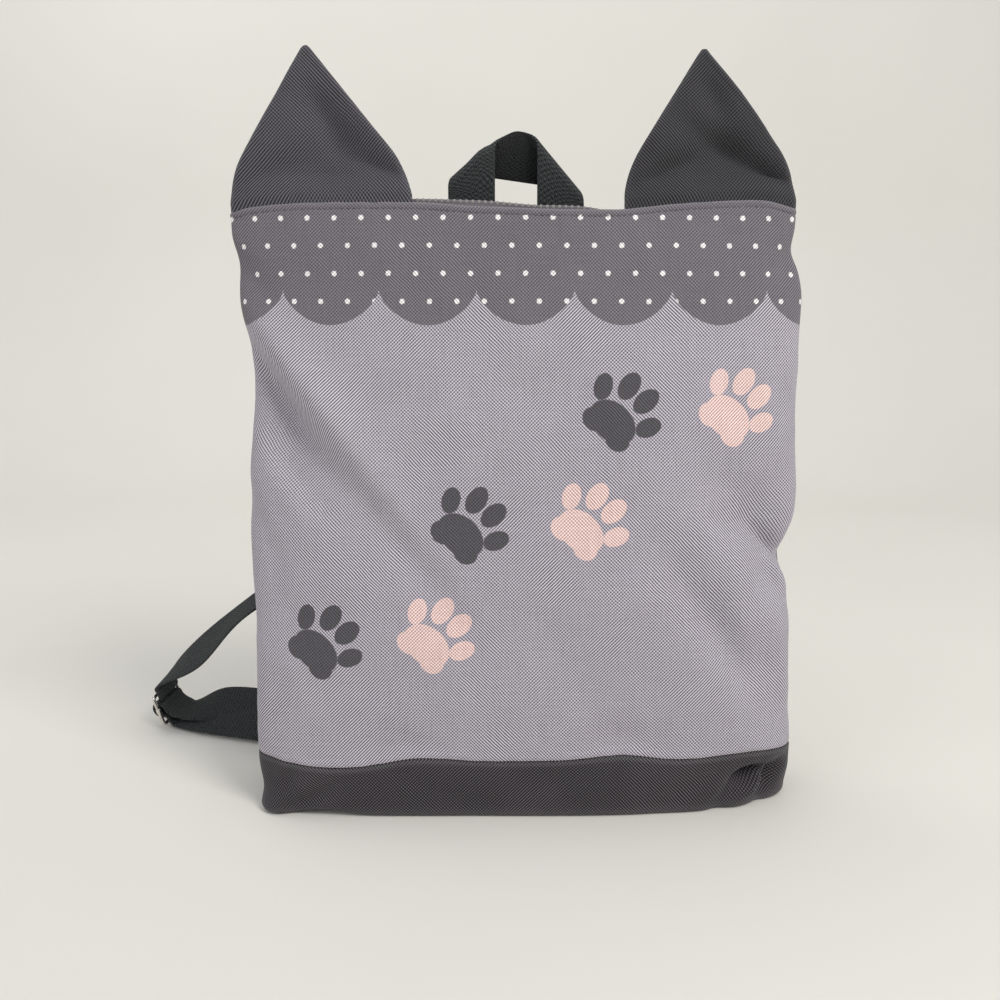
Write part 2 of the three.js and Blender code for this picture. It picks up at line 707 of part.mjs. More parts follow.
// The handle: two legs on the back panel, each folded back and sideways over a round fold, so
// that the band between them runs behind the legs
function grabHandle() {
  const stepsLeg = 5;
  const stepsFold = 9;
  const stepsBand = 4;
  const stepsAcross = 4;
  const middleX = (smoothSkin(0, bodyHeight).x + smoothSkin(2, bodyHeight).x) / 2 + handleAside;
  const legX = (handleGap + webbingWidth) / 2;
  const wrap = Math.PI * handleFoldRadius;
  const angles = [Math.PI / 4 - handleTilt / 2, Math.PI / 4 + handleTilt / 2];
  const backY = (x, z) => {
    const turn = turnAt(x, Math.min(z, bodyHeight), true);
    const height = Math.min(z, topEdge(turn));
    return underSkin(turn, height, -(seamGap + webbingWall / 2)).y;
  };
  // A half handle in its own plane: x towards the middle, depth behind the legs, z up
  const folded = (along, across, angle) => {
    const a = across * Math.cos(angle) + along * Math.sin(angle);
    const b = along * Math.cos(angle) - across * Math.sin(angle);
    let past = b;
    let depth = 0;
    if (b > wrap) {
      past = wrap - b;
      depth = 2 * handleFoldRadius;
    } else if (b > 0) {
      past = handleFoldRadius * Math.sin(b / handleFoldRadius);
      depth = handleFoldRadius * (1 - Math.cos(b / handleFoldRadius));
    }
    return {
      x: a * Math.cos(angle) - past * Math.sin(angle),
      z: a * Math.sin(angle) + past * Math.cos(angle),
      depth,
    };
  };
  const bandStart = (angle) => ({ x: -wrap * Math.sin(angle), z: wrap * Math.cos(angle) });
  const leftStart = bandStart(angles[0]);
  const rightStart = bandStart(angles[1]);
  const bandX = 2 * legX - leftStart.x - rightStart.x;
  const drop = bandX * Math.tan(handleTilt) - (leftStart.z - rightStart.z);
  const bandHalf = bandX / Math.cos(handleTilt) / 2;
  const rises = [handleRise, handleRise - drop];
  const half = (side) => {
    const angle = angles[side];
    const shear = Math.tan(angle);
    const legLength = rises[side] + handleSewn;
    const foldLength = wrap / Math.cos(angle);
    const rows = [
      ...evenSteps(-legLength, 0, stepsLeg).map((s, i) => ({ s, slant: i / stepsLeg })),
      ...evenSteps(0, foldLength, stepsFold).slice(1).map((s) => ({ s, slant: 1 })),
      ...evenSteps(foldLength, bandHalf, stepsBand)
        .slice(1)
        .map((s, i) => ({ s, slant: 1 - (i + 1) / stepsBand })),
    ];
    return rows.map(({ s, slant }) =>
      evenSteps(-webbingWidth / 2, webbingWidth / 2, stepsAcross).map((across) => {
        const { x, z, depth } = folded(s + slant * shear * across, across, angle);
        const sign = side === 0 ? 1 : -1;
        const placeX = middleX + sign * (x - legX);
        const placeZ = bodyHeight + rises[side] + z;
        return new THREE.Vector3(placeX, backY(placeX, placeZ) + depth, placeZ);
      }),
    );
  };
  const left = half(0);
  const right = half(1).slice(0, -1).reverse();
  return sheetSolid([...left, ...right], webbingWall);
}

// A flat metal fitting with one slot or two, lying in the plane of its two directions
function fittingGeometry(slots, slotLength, centre, along, across) {
  const halfLong = (slots * slotLength + (slots + 1) * fittingBar) / 2;
  const slotHalf = webbingWidth / 2 + fittingPlay;
  const halfWide = slotHalf + fittingSide;
  const cornerRound = fittingBar;
  const slotRound = fittingBar / 3;
  const roundedRectangle = (target, left, low, right, high, round) => {
    target.moveTo(left + round, low);
    target.lineTo(right - round, low);
    target.quadraticCurveTo(right, low, right, low + round);
    target.lineTo(right, high - round);
    target.quadraticCurveTo(right, high, right - round, high);
    target.lineTo(left + round, high);
    target.quadraticCurveTo(left, high, left, high - round);
    target.lineTo(left, low + round);
    target.quadraticCurveTo(left, low, left + round, low);
    return target;
  };
  const outline = new THREE.Shape();
  const shape = roundedRectangle(outline, -halfWide, -halfLong, halfWide, halfLong, cornerRound);
  for (let i = 0; i < slots; i += 1) {
    const low = -halfLong + fittingBar + i * (slotLength + fittingBar);
    const high = low + slotLength;
    const slot = roundedRectangle(new THREE.Path(), -slotHalf, low, slotHalf, high, slotRound);
    shape.holes.push(slot);
  }
  const solid = new THREE.ExtrudeGeometry(shape, {
    depth: fittingThick,
    bevelEnabled: false,
    curveSegments: 3,
  });
  solid.translate(0, 0, -fittingThick / 2);
  const frame = new THREE.Matrix4().makeBasis(across, along, new THREE.Vector3().crossVectors(across, along));
  frame.setPosition(centre);
  solid.applyMatrix4(frame);
  return solid;
}

const upright = new THREE.Vector3(0, 0, 1);

// Places the ring, its tab, the glide and the strap of one side
function strapSet(set) {
  const tabAside = bodyWidth / 2 - tabFromSide;
  const layOff = layGap + webbingWall / 2;
  const backWall = (x, z) => {
    const turn = turnAt(x, z, true);
    return underSkin(turn, z, -layOff);
  };
  const tabPlace = (share) => backWall(set.side * (tabAside + tabLength * share), tabHeight);
  const tabEnd = tabPlace(tabShares[tabShares.length - 1]);
  const alongWall = (x) => {
    const reach = webbingWidth / 3;
    const low = backWall(x, tabHeight - reach);
    return backWall(x, tabHeight + reach).sub(low).normalize();
  };
  const tabAcross = alongWall(set.side * tabAside);
  const points = set.ringPoints.clone().normalize();
  const aside = new THREE.Vector3(-points.y, points.x, 0);
  const ringCentre = tabEnd.clone().addScaledVector(points, tabLength * ringShare);
  ringCentre.z = tabHeight;
  addPiece(
    "ring_" + set.name,
    fittingGeometry(1, ringSlot, ringCentre, points, upright),
    nickel,
  );

  // The webbing's round turn about one of the ring's bars, from one side to the other
  const turnSteps = 4;
  const barOffset = (ringSlot + fittingBar) / 2;
  const roundTurn = (towards, fromSide) => {
    const bar = ringCentre.clone().addScaledVector(points, towards * barOffset);
    const beside = bar.clone().addScaledVector(points, towards * fittingBar);
    const wayOut = (side) => ({
      place: beside.clone().addScaledVector(aside, side * turnRadius),
      across: upright,
    });
    const turned = evenSteps(0, 1, turnSteps).map((share) => {
      const angle = Math.PI * share;
      const place = bar.clone();
      place.addScaledVector(points, -towards * turnRadius * Math.sin(angle));
      place.addScaledVector(aside, fromSide * turnRadius * Math.cos(angle));
      return { place, across: upright };
    });
    return [wayOut(fromSide), ...turned, wayOut(-fromSide)];
  };

  // The tab runs along the back of the base, round the ring's near bar and back over itself
  const secondLayer = new THREE.Vector3(0, webbingWall + layGap, 0);
  const layer = (shift) =>
    tabShares.map((share) => ({ place: tabPlace(share).add(shift), across: tabAcross }));
  const tabStations = [
    ...layer(new THREE.Vector3()),
    ...roundTurn(-1, -set.side),
    ...layer(secondLayer).reverse(),
  ];
  addPiece("tab_" + set.name, webbingSolid(tabStations), webbingDark);

  // The glide
  const glideCentre = ringCentre.clone();
  glideCentre.x += strapLoop * set.glideX;
  glideCentre.y += strapLoop * set.glideY;
  glideCentre.z += strapLoop * set.glideZ;
  const glideUp = set.glideUp.clone().normalize();
  const glideAcross = new THREE.Vector3().crossVectors(glideUp, set.glideOut).normalize();
  const glideOut = new THREE.Vector3().crossVectors(glideAcross, glideUp).normalize();
  if (glideAcross.y < 0) {
    glideAcross.negate();
  }
  addPiece(
    "glide_" + set.name,
    fittingGeometry(2, glideSlot, glideCentre, glideUp, glideAcross),
    nickel,
  );
  const barSpacing = glideSlot + fittingBar;
  const onGlide = (along, out) => {
    const place = glideCentre.clone();
    place.addScaledVector(glideUp, along * barSpacing);
    place.addScaledVector(glideOut, out * barSpacing);
    return { place, across: glideAcross };
  };
  const throughGlide = [
    ...threading.slice(1).reverse().map((row) => onGlide(row.along, row.out)),
    ...threading.slice(0, -1).map((row) => onGlide(-row.along, row.out)),
    onGlide(floorExit.along, floorExit.out),
  ];
  const endOnGlide = sewnEnd.map((row) => onGlide(row.along, row.out));

  // The sewn top end, flat on the back panel
  const topX = (smoothSkin(0, bodyHeight).x + smoothSkin(2, bodyHeight).x) / 2 + handleAside;
  const anchorX = topX + set.side * strapAside;
  const anchorTop = bodyHeight - strapBelowTop;
  const anchorSteps = 3;
  const anchor = evenSteps(anchorTop, anchorTop - strapSewn, anchorSteps).map((z) => {
    const rightEdge = backWall(anchorX + webbingWidth / 2, z);
    const leftEdge = backWall(anchorX - webbingWidth / 2, z);
    return { place: backWall(anchorX, z), across: leftEdge.sub(rightEdge).normalize() };
  });

  const run = (rows, from, to) =>
    rows.map((row) => ({
      place: new THREE.Vector3()
        .lerpVectors(from.place, to.place, row.along)
        .add(new THREE.Vector3(row.x, row.y, row.z).multiplyScalar(strapBow)),
      across: new THREE.Vector3(row.faceX, row.faceY, row.faceZ).normalize(),
    }));

  const floorSide = -Math.sign(aside.y);
  const strapTurn = roundTurn(1, floorSide);
  const stations = [
    ...anchor,
    ...run(set.upperRun, anchor[anchor.length - 1], throughGlide[0]),
    ...throughGlide,
    ...run(set.floorRun, throughGlide[throughGlide.length - 1], strapTurn[0]),
    ...strapTurn,
    ...run(set.returnRun, strapTurn[strapTurn.length - 1], endOnGlide[0]),
    ...endOnGlide,
  ];
  addPiece("strap_" + set.name, webbingSolid(stations), webbingDark);
}

addPiece("front_panel", bodyPanel(2, frontGrid), canvasPrinted);
addPiece("back_panel", bodyPanel(0, backGrid), canvasDark);
addPiece("base_panel", basePanel(), canvasBase);
addPiece("ear_left", ear(leftEarRows, leftEarHollows, earMiddles.left), canvasDark);
addPiece("ear_right", ear(rightEarRows, rightEarHollows, earMiddles.right), canvasDark);
addPiece("zip_tape_front", zipTapeSolid(false, frontZipLine), zipTape);
addPiece("zip_tape_back", zipTapeSolid(true, backZipLine), zipTape);
addPiece("zip_teeth_front", zipTeethSolid(false, frontZipLine), zipPlastic);
addPiece("zip_teeth_back", zipTeethSolid(true, backZipLine), zipPlastic);
addPiece("zip_slider", zipSlider(), zipPlastic);
addPiece("grab_handle", grabHandle(), webbingDark);
for (const set of strapSides) {
  strapSet(set);
}

export default bag;
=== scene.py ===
"""Looks of a child's flat backpack with two pointed ears: woven canvas, ribbed webbing, a moulded
zip and nickel fittings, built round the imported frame. Sizes are millimetres until a mesh is made."""

import math

import bmesh
import bpy
import numpy as np
from mathutils import Matrix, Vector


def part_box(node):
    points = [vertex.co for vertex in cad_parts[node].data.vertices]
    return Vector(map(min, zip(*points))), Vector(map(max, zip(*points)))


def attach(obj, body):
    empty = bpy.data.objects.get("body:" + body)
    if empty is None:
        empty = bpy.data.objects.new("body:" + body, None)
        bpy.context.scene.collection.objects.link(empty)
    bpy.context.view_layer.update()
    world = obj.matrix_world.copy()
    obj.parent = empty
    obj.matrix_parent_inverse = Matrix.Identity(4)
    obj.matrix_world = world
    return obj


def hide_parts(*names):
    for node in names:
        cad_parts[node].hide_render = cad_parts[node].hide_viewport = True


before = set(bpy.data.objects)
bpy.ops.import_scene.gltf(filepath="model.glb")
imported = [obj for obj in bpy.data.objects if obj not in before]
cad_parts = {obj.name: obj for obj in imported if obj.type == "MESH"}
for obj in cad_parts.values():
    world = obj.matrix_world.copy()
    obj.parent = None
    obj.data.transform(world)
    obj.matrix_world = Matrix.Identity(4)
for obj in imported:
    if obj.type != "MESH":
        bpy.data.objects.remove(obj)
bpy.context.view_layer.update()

MM = 0.001

# Bag body
BODY_WIDTH = 298
BODY_HEIGHT = 322
BODY_DEPTH = 80
STRIP_HEIGHT = 33
PANEL_WALL = 1.6
BASE_WALL = 2
BASE_EDGE_ROUND = 4
FOLD_DEPTH = 10
TOP_WAVE = 4
STRIP_WAVE = 4
SEAM_GAP = 0.3
LAY_GAP = 0.6
SIDE_SHIFT = 0.003

# Ears
EAR_WIDTH = 93
EAR_HEIGHT = 77
EAR_WALL = 2.6
EAR_HOLLOW = 9
EAR_MIDDLES = {"left": -0.698, "right": 0.6335}
EAR_SEAT_SHARE = 0.083
EAR_HOLLOW_SHARE = 0.167

# Zip
TAPE_WIDTH = 12
TAPE_WALL = 1
TEETH_HIGH = 1.8
TEETH_WIDE = 2.6
TEETH_PITCH = 3.1
ZIP_STAND = 4
ZIP_LEAN = 1.4
ZIP_REACH = 0.84

# Webbing, handle and straps
WEBBING_WIDTH = 25
WEBBING_WALL = 1.6
HANDLE_GAP = 22.5
HANDLE_RISE = 23
HANDLE_FOLD_RADIUS = 4
HANDLE_TILT = math.radians(8)
HANDLE_SEWN = 20
HANDLE_ASIDE = 2
STRAP_ASIDE = 54
STRAP_SEWN = 24
STRAP_BELOW_TOP = 2
STRAP_BOW = 60
STRAP_LOOP = 112

# Metal fittings and the tabs
FITTING_PLAY = 0.6
FITTING_SIDE = 2.4
FITTING_BAR = 3
FITTING_THICK = 2.2
RING_SLOT = 8
GLIDE_SLOT = 6.8
TURN_RADIUS = 3
TAB_LENGTH = 28
TAB_HEIGHT = 16
TAB_FROM_SIDE = 55
TAB_SHARES = [0, 0.18, 0.35]
RING_SHARE = 0.75

# The photograph's camera, and lights as name, place, target, size, power and tint, in metres
CAMERA_PLACE = (-0.013, -0.541, 0.262)
CAMERA_TILT = math.radians(80)
SENSOR_WIDTH = 36
LENS_PER_SENSOR = 1.003
SKY_COLOUR = (0.93, 0.95, 1.0, 1)
SKY_STRENGTH = 0.6
LIGHTS = [
    ("key", (1.05, -1.15, 1.6), (0, 0, 0.15), 0.9, 24, (1.0, 0.98, 0.95)),
    ("fill", (-1.4, -1.2, 0.9), (0, 0, 0.15), 1.2, 3.5, (0.93, 0.96, 1.0)),
    ("back", (-0.7, 0.5, 1.6), (-0.25, 1.4, 0.4), 1.0, 5, (1.0, 1.0, 1.0)),
]

UPRIGHT = np.array([0.0, 0.0, 1.0])


def table(columns, rows):
    """A table with named columns, as arrays."""
    values = np.array(rows, dtype=float).T
    return dict(zip(columns.split(), values))


SECTIONS = table(
    "up left right front back square_left square_right",
    [
        (0.0, 0.95, 1.0, 0.99, 0.98, 8.0, 2.5),
        (0.1, 0.983, 1.008, 1.0, 0.98, 6.0, 3.5),
        (0.3, 0.986, 0.97, 0.97, 0.94, 4.2, 3.8),
        (0.5, 0.998, 0.985, 0.86, 0.84, 3.4, 3.4),
        (0.7, 0.988, 0.972, 0.7, 0.7, 3.0, 3.0),
        (0.85, 1.004, 0.978, 0.54, 0.54, 2.7, 2.7),
        (0.94, 1.03, 0.957, 0.42, 0.42, 2.3, 2.3),
        (1.0, 1.036, 0.95, 0.34, 0.34, 2.0, 2.0),
    ],
)
TOP_LINE = table(
    "across rise",
    [
        (-1.03, -0.9), (-0.94, -0.2), (-0.77, 0.2), (-0.38, 0.2), (-0.15, -0.35),
        (0.3, -0.7), (0.5, 0.0), (0.75, 0.55), (0.84, 0.5), (0.95, -0.4),
    ],
)
STRIP_LINE = table(
    "across rise",
    [
        (-1.0, -0.1), (-0.72, -1.1), (-0.58, -0.9), (-0.37, 0.15), (-0.14, -0.1),
        (0.13, 0.0), (0.35, 0.55), (0.55, 0.0), (0.79, 0.4), (1.0, 0.2),
    ],
)
# The folds of the frame's cloth, and after them finer creases
FOLDS = table(
    "side x up long wide turn deep",
    [
        (-1, -0.8, 0.62, 0.14, 0.05, -52, 0.75),
        (-1, -0.74, 0.72, 0.16, 0.035, -50, -0.35),
        (-1, -0.32, 0.4, 0.13, 0.03, -54, 0.22),
        (0, -1.0, 0.73, 0.12, 0.08, 80, 0.18),
        (0, 0.98, 0.42, 0.1, 0.045, 20, 0.65),
        (-1, 0.84, 0.475, 0.12, 0.045, 128, 0.75),
        (-1, 0.8, 0.36, 0.1, 0.05, 120, -0.5),
        (-1, 0.73, 0.29, 0.13, 0.03, -58, 0.35),
        (-1, -0.42, 0.125, 0.06, 0.03, 0, 0.3),
        (-1, 0.36, 0.13, 0.06, 0.035, 0, 0.3),
        (0, -0.99, 0.9, 0.05, 0.022, -48, 0.3),
        (0, 0.95, 0.93, 0.05, 0.022, 48, 0.3),
        (-1, 0.86, 0.045, 0.05, 0.03, -25, 0.5),
        (-1, -0.95, 0.06, 0.05, 0.025, 60, 0.25),
        (1, 0.25, 0.55, 0.22, 0.1, 70, 0.5),
        (1, -0.45, 0.35, 0.16, 0.05, -60, 0.4),
        (-1, -0.88, 0.7, 0.1, 0.024, -56, 0.6),
        (-1, -0.68, 0.655, 0.22, 0.028, -53, -0.42),
        (-1, -0.9, 0.585, 0.07, 0.018, -58, -0.24),
        (-1, -0.82, 0.565, 0.08, 0.022, -42, 0.28),
        (-1, -0.96, 0.5, 0.07, 0.02, -66, 0.2),
        (-1, -0.5, 0.5, 0.12, 0.03, -56, 0.2),
        (0, 0.98, 0.42, 0.05, 0.03, 20, -0.4),
        (-1, 0.9, 0.452, 0.05, 0.014, 140, 0.55),
        (0, 0.985, 0.424, 0.022, 0.012, 110, 0.22),
        (-1, 0.95, 0.4, 0.06, 0.014, 118, -0.34),
        (-1, 0.7, 0.49, 0.035, 0.022, 130, 0.24),
        (-1, 0.83, 0.52, 0.09, 0.03, 60, 0.24),
        (-1, 0.6, 0.36, 0.16, 0.03, -58, 0.2),
        (-1, 0.88, 0.25, 0.14, 0.022, -68, 0.18),
        (-1, 0.05, 0.3, 0.16, 0.05, -50, 0.12),
        (-1, -0.2, 0.78, 0.16, 0.05, -30, 0.1),
        (-1, 0.45, 0.84, 0.14, 0.04, 24, 0.1),
        (-1, 0.835, 0.058, 0.034, 0.014, 14, 0.95),
        (-1, 0.74, 0.03, 0.034, 0.012, 46, 0.3),
        (-1, 0.86, 0.04, 0.03, 0.01, 36, -0.6),
        (-1, 0.925, 0.05, 0.034, 0.012, 60, 0.7),
        (-1, 0.6, 0.05, 0.07, 0.018, 30, 0.14),
        (-1, -0.85, 0.062, 0.026, 0.011, 70, 0.3),
        (-1, -0.86, 0.03, 0.05, 0.012, 42, -0.2),
        (-1, -0.75, 0.035, 0.05, 0.014, 30, 0.24),
        (-1, -0.95, 0.006, 0.03, 0.025, 0, -0.3),
        (0, -0.99, 0.055, 0.03, 0.02, 90, -0.28),
        (-1, -0.36, 0.06, 0.08, 0.02, -24, 0.12),
        (-1, -0.89, 0.4, 0.2, 0.035, 86, 0.22),
        (-1, 0.87, 0.26, 0.16, 0.04, 94, 0.2),
    ],
)
LEFT_EAR_ROWS = table(
    "up start end",
    [
        (0.0, -1.05, 1.0), (0.1, -1.03, 0.967), (0.2, -0.995, 0.9), (0.31, -0.92, 0.805),
        (0.5, -0.715, 0.55), (0.75, -0.445, 0.22), (0.93, -0.25, -0.018), (0.985, -0.19, -0.09),
        (1.0, -0.16, -0.12),
    ],
)
RIGHT_EAR_ROWS = table(
    "up start end",
    [
        (0.0, -0.95, 1.0), (0.1, -0.945, 0.97), (0.22, -0.9, 0.91), (0.34, -0.81, 0.8),
        (0.5, -0.645, 0.6), (0.72, -0.41, 0.305), (0.9, -0.22, 0.035), (0.96, -0.155, -0.055),
        (0.978, -0.13, -0.08),
    ],
)
LEFT_EAR_HOLLOWS = table(
    "across up spread_across spread_up back",
    [(0.05, 0.2, 0.5, 0.2, 0.8), (0.5, 0.42, 0.3, 0.25, -0.35), (-0.1, 1.0, 0.6, 0.4, 0.3)],
)
RIGHT_EAR_HOLLOWS = table(
    "across up spread_across spread_up back",
    [(0.1, 0.22, 0.55, 0.2, 0.8), (-0.55, 0.38, 0.3, 0.25, -0.35), (-0.1, 1.0, 0.6, 0.4, 0.4)],
)
# Finer folds of the ears, in shares of half the ear width and of the ear height
LEFT_EAR_FOLDS = table(
    "across up long wide turn back",
    [
        (0.22, 0.42, 0.3, 0.12, -42, 0.62), (0.72, 0.2, 0.18, 0.06, -22, 0.35),
        (-0.55, 0.2, 0.25, 0.08, 20, 0.2), (0.0, 0.62, 0.2, 0.1, -60, 0.3),
    ],
)
RIGHT_EAR_FOLDS = table(
    "across up long wide turn back",
    [
        (0.25, 0.3, 0.34, 0.09, -30, 0.6), (-0.5, 0.2, 0.22, 0.07, 24, 0.35),
        (0.0, 0.66, 0.2, 0.09, -62, 0.3), (0.72, 0.16, 0.16, 0.06, -12, 0.3),
    ],
)
FRONT_ZIP_LINE = table(
    "across stand",
    [
        (-1.0, 0.35), (-0.38, 0.65), (-0.15, 0.95), (0.03, 0.65), (0.19, 0.6), (0.3, 0.0),
        (0.42, -0.35), (1.0, -0.35),
    ],
)
BACK_ZIP_LINE = table("across stand", [(-1.0, 0.35), (0.0, 0.6), (1.0, -0.2)])
THREADING = [
    (0.0, 0.48), (0.29, 0.39), (0.47, 0.17), (0.52, -0.04), (0.71, -0.25), (1.05, -0.31),
    (1.55, -0.36),
]
FLOOR_EXIT = (-1.22, -0.52)
SEWN_END = [
    (-0.95, -1.25), (-0.68, -0.74), (-0.4, -0.46), (-0.14, -0.31), (0.16, -0.26), (0.3, 0.0),
    (0.16, 0.25), (-0.12, 0.27),
]
# Rows of a strap's free runs: along, three offsets, and the direction across the webbing
LEFT_UPPER_RUN = [
    (0.12, 0.25, 0.15, -0.07, -0.98, 0.2, 0.0),
    (0.3, 0.55, 0.25, -0.13, -0.93, 0.36, 0.05),
    (0.5, 0.72, 0.2, -0.22, -0.7, 0.68, 0.2),
    (0.66, 0.63, 0.05, -0.15, -0.35, 0.9, 0.22),
    (0.8, 0.42, -0.13, 0.02, -0.15, 0.97, 0.2),
    (0.91, 0.18, -0.05, -0.03, -0.35, 0.86, 0.36),
]
LEFT_FLOOR_RUN = [
    (0.22, 0.0, -0.04, 0.0, 0.25, 0.85, 0.4),
    (0.6, 0.0, -0.02, -0.02, 0.2, 0.72, 0.62),
    (0.86, 0.0, 0.0, -0.02, 0.08, 0.3, 0.95),
]
LEFT_RETURN_RUN = [
    (0.14, 0.0, 0.02, 0.02, 0.0, 0.15, 0.98),
    (0.42, 0.0, 0.06, 0.05, 0.1, 0.45, 0.88),
    (0.76, 0.0, 0.06, 0.06, 0.2, 0.7, 0.65),
]
RIGHT_UPPER_RUN = [
    (0.15, 0.0, 0.35, 0.05, -1.0, 0.0, 0.0),
    (0.35, 0.12, 0.72, 0.05, -1.0, 0.0, 0.0),
    (0.58, 0.3, 0.72, -0.1, -0.95, 0.3, 0.1),
    (0.8, 0.32, 0.35, -0.3, -0.75, 0.65, 0.2),
    (0.92, 0.15, 0.05, -0.12, -0.35, 0.88, 0.3),
]
RIGHT_FLOOR_RUN = [
    (0.25, 0.0, 0.05, 0.02, -0.1, 0.85, 0.5),
    (0.62, 0.12, 0.1, 0.02, -0.1, 0.4, 0.88),
]
RIGHT_RETURN_RUN = [
    (0.38, 0.12, 0.18, 0.03, -0.1, 0.2, 0.97),
    (0.75, 0.0, 0.14, 0.04, -0.2, 0.6, 0.75),
]
STRAP_SIDES = [
    {
        "name": "left", "side": -1,
        "upper": LEFT_UPPER_RUN, "floor": LEFT_FLOOR_RUN, "back": LEFT_RETURN_RUN,
        "ring_points": (-0.86, 0.5, 0), "glide": (-0.99, 0.375, -0.01),
        "glide_up": (-0.3, -0.08, 0.95), "glide_out": (-0.94, 0.2, -0.28),
    },
    {
        "name": "right", "side": 1,
        "upper": RIGHT_UPPER_RUN, "floor": RIGHT_FLOOR_RUN, "back": RIGHT_RETURN_RUN,
        "ring_points": (-0.1, 0.99, 0), "glide": (-0.95, 0.5, 0),
        "glide_up": (-0.2, -0.1, 0.97), "glide_out": (-0.94, 0.3, -0.16),
    },
]


# Number helpers


def unit(vectors):
    return vectors / np.linalg.norm(vectors, axis=-1, keepdims=True)


def smooth_step(value, low, high):
    t = np.clip((value - low) / (high - low), 0, 1)
    return t * t * (3 - 2 * t)


def hump(value, middle, spread):
    return np.exp(-(((value - middle) / spread) ** 2))


def sample(rows, key, column, at):
    """Reads one column at places between the rows, on a smooth curve through them."""
    xs = rows[key]
    ys = rows[column]
    last = len(xs) - 1
    at = np.clip(at, xs[0], xs[-1])
    i = np.clip(np.searchsorted(xs, at, side="left") - 1, 0, last - 1)
    slopes = np.array(
        [
            (ys[min(j + 1, last)] - ys[max(j - 1, 0)]) / (xs[min(j + 1, last)] - xs[max(j - 1, 0)])
            for j in range(last + 1)
        ]
    )
    span = xs[i + 1] - xs[i]
    t = (at - xs[i]) / span
    t2 = t * t
    t3 = t2 * t
    return (
        (2 * t3 - 3 * t2 + 1) * ys[i]
        + (t3 - 2 * t2 + t) * span * slopes[i]
        + (3 * t2 - 2 * t3) * ys[i + 1]
        + (t3 - t2) * span * slopes[i + 1]
    )


def ripple(x, z, seed, shortest, longest):
    """A gentle unevenness of about one unit, made of crossing waves."""
    random = np.random.default_rng(seed)
    waves = 22
    total = np.zeros_like(x)
    for _ in range(waves):
        length = random.uniform(shortest, longest)
        angle = random.uniform(0, math.pi)
        phase = random.uniform(0, 2 * math.pi)
        way = x * math.cos(angle) + z * math.sin(angle)
        total += np.sin(2 * math.pi * way / length + phase)
    return total / math.sqrt(waves)


# The skin of the bag, the same as the frame's


def quarter_point(a, b, square, share):
    steps = 90
    angle = np.linspace(0, math.pi / 2, steps + 1)
    power = 2 / square[:, None]
    x = a[:, None] * np.cos(angle) ** power
    y = b[:, None] * np.sin(angle) ** power
    x[:, -1] = 0
    lengths = np.hypot(np.diff(x, axis=1), np.diff(y, axis=1))
    reach = np.concatenate([np.zeros((len(a), 1)), np.cumsum(lengths, axis=1)], axis=1)
    want = share * reach[:, -1]
    i = np.clip((reach < want[:, None]).sum(axis=1), 1, steps)[:, None]

    def pick(values, index):
        return np.take_along_axis(values, index, axis=1)[:, 0]

    before = pick(reach, i - 1)
    t = (want - before) / (pick(reach, i) - before)
    return (
        pick(x, i - 1) + t * (pick(x, i) - pick(x, i - 1)),
        pick(y, i - 1) + t * (pick(y, i) - pick(y, i - 1)),
    )


def smooth_skin(turn, height):
    turn, height = np.broadcast_arrays(np.asarray(turn, float), np.asarray(height, float))
    shape = turn.shape
    turn = turn.ravel()
    height = height.ravel()
    pick = {name: sample(SECTIONS, "up", name, height / BODY_HEIGHT) for name in SECTIONS}
    wrapped = np.mod(turn, 4)
    quarter = np.floor(wrapped).astype(int)
    share = wrapped - quarter
    on_right = (quarter == 0) | (quarter == 3)
    on_back = quarter < 2
    a = np.where(on_right, pick["right"], pick["left"]) * (BODY_WIDTH / 2)
    b = np.where(on_back, pick["back"], pick["front"]) * (BODY_DEPTH / 2)
    square = np.where(on_right, pick["square_right"], pick["square_left"])
    from_side = (quarter == 0) | (quarter == 2)
    x, y = quarter_point(a, b, square, np.where(from_side, share, 1 - share))
    x = np.where(on_right, x, -x)
    y = np.where(on_back, y, -y)
    return np.stack([x, y, height], axis=-1).reshape(shape + (3,))


def outward_normal(surface, turn, height):
    step = 0.02
    lift = 1
    around = surface(turn + step, height) - surface(turn - step, height)
    rise = surface(turn, height + lift) - surface(turn, height - lift)
    return unit(np.cross(around, rise))


def fold_push(point, folds):
    frontness = -point[..., 1] / (BODY_DEPTH / 2)
    push = np.zeros(point.shape[:-1])
    for i in range(len(folds["x"])):
        side = folds["side"][i]
        facing = 1.0 if side == 0 else smooth_step(-side * frontness, -0.1, 0.3)
        angle = math.radians(folds["turn"][i])
        dx = point[..., 0] - folds["x"][i] * (BODY_WIDTH / 2)
        dz = point[..., 2] - folds["up"][i] * BODY_HEIGHT
        along = (dx * math.cos(angle) + dz * math.sin(angle)) / (folds["long"][i] * BODY_HEIGHT)
        aside = (dz * math.cos(angle) - dx * math.sin(angle)) / (folds["wide"][i] * BODY_HEIGHT)
        push += facing * folds["deep"][i] * FOLD_DEPTH * np.exp(-along * along - aside * aside)
    return push


def skin(turn, height):
    point = smooth_skin(turn, height)
    normal = outward_normal(smooth_skin, turn, height)
    return point - normal * fold_push(point, FOLDS)[..., None]


def under_skin(turn, height, depth):
    turn, height = np.broadcast_arrays(np.asarray(turn, float), np.asarray(height, float))
    return skin(turn, height) - outward_normal(skin, turn, height) * depth


def front_share(turn):
    return smooth_step(np.minimum(turn - 2, 4 - turn), 0, 0.3)


def top_edge(turn):
    across = smooth_skin(turn, BODY_HEIGHT)[..., 0] / (BODY_WIDTH / 2)
    return BODY_HEIGHT + TOP_WAVE * sample(TOP_LINE, "across", "rise", across)


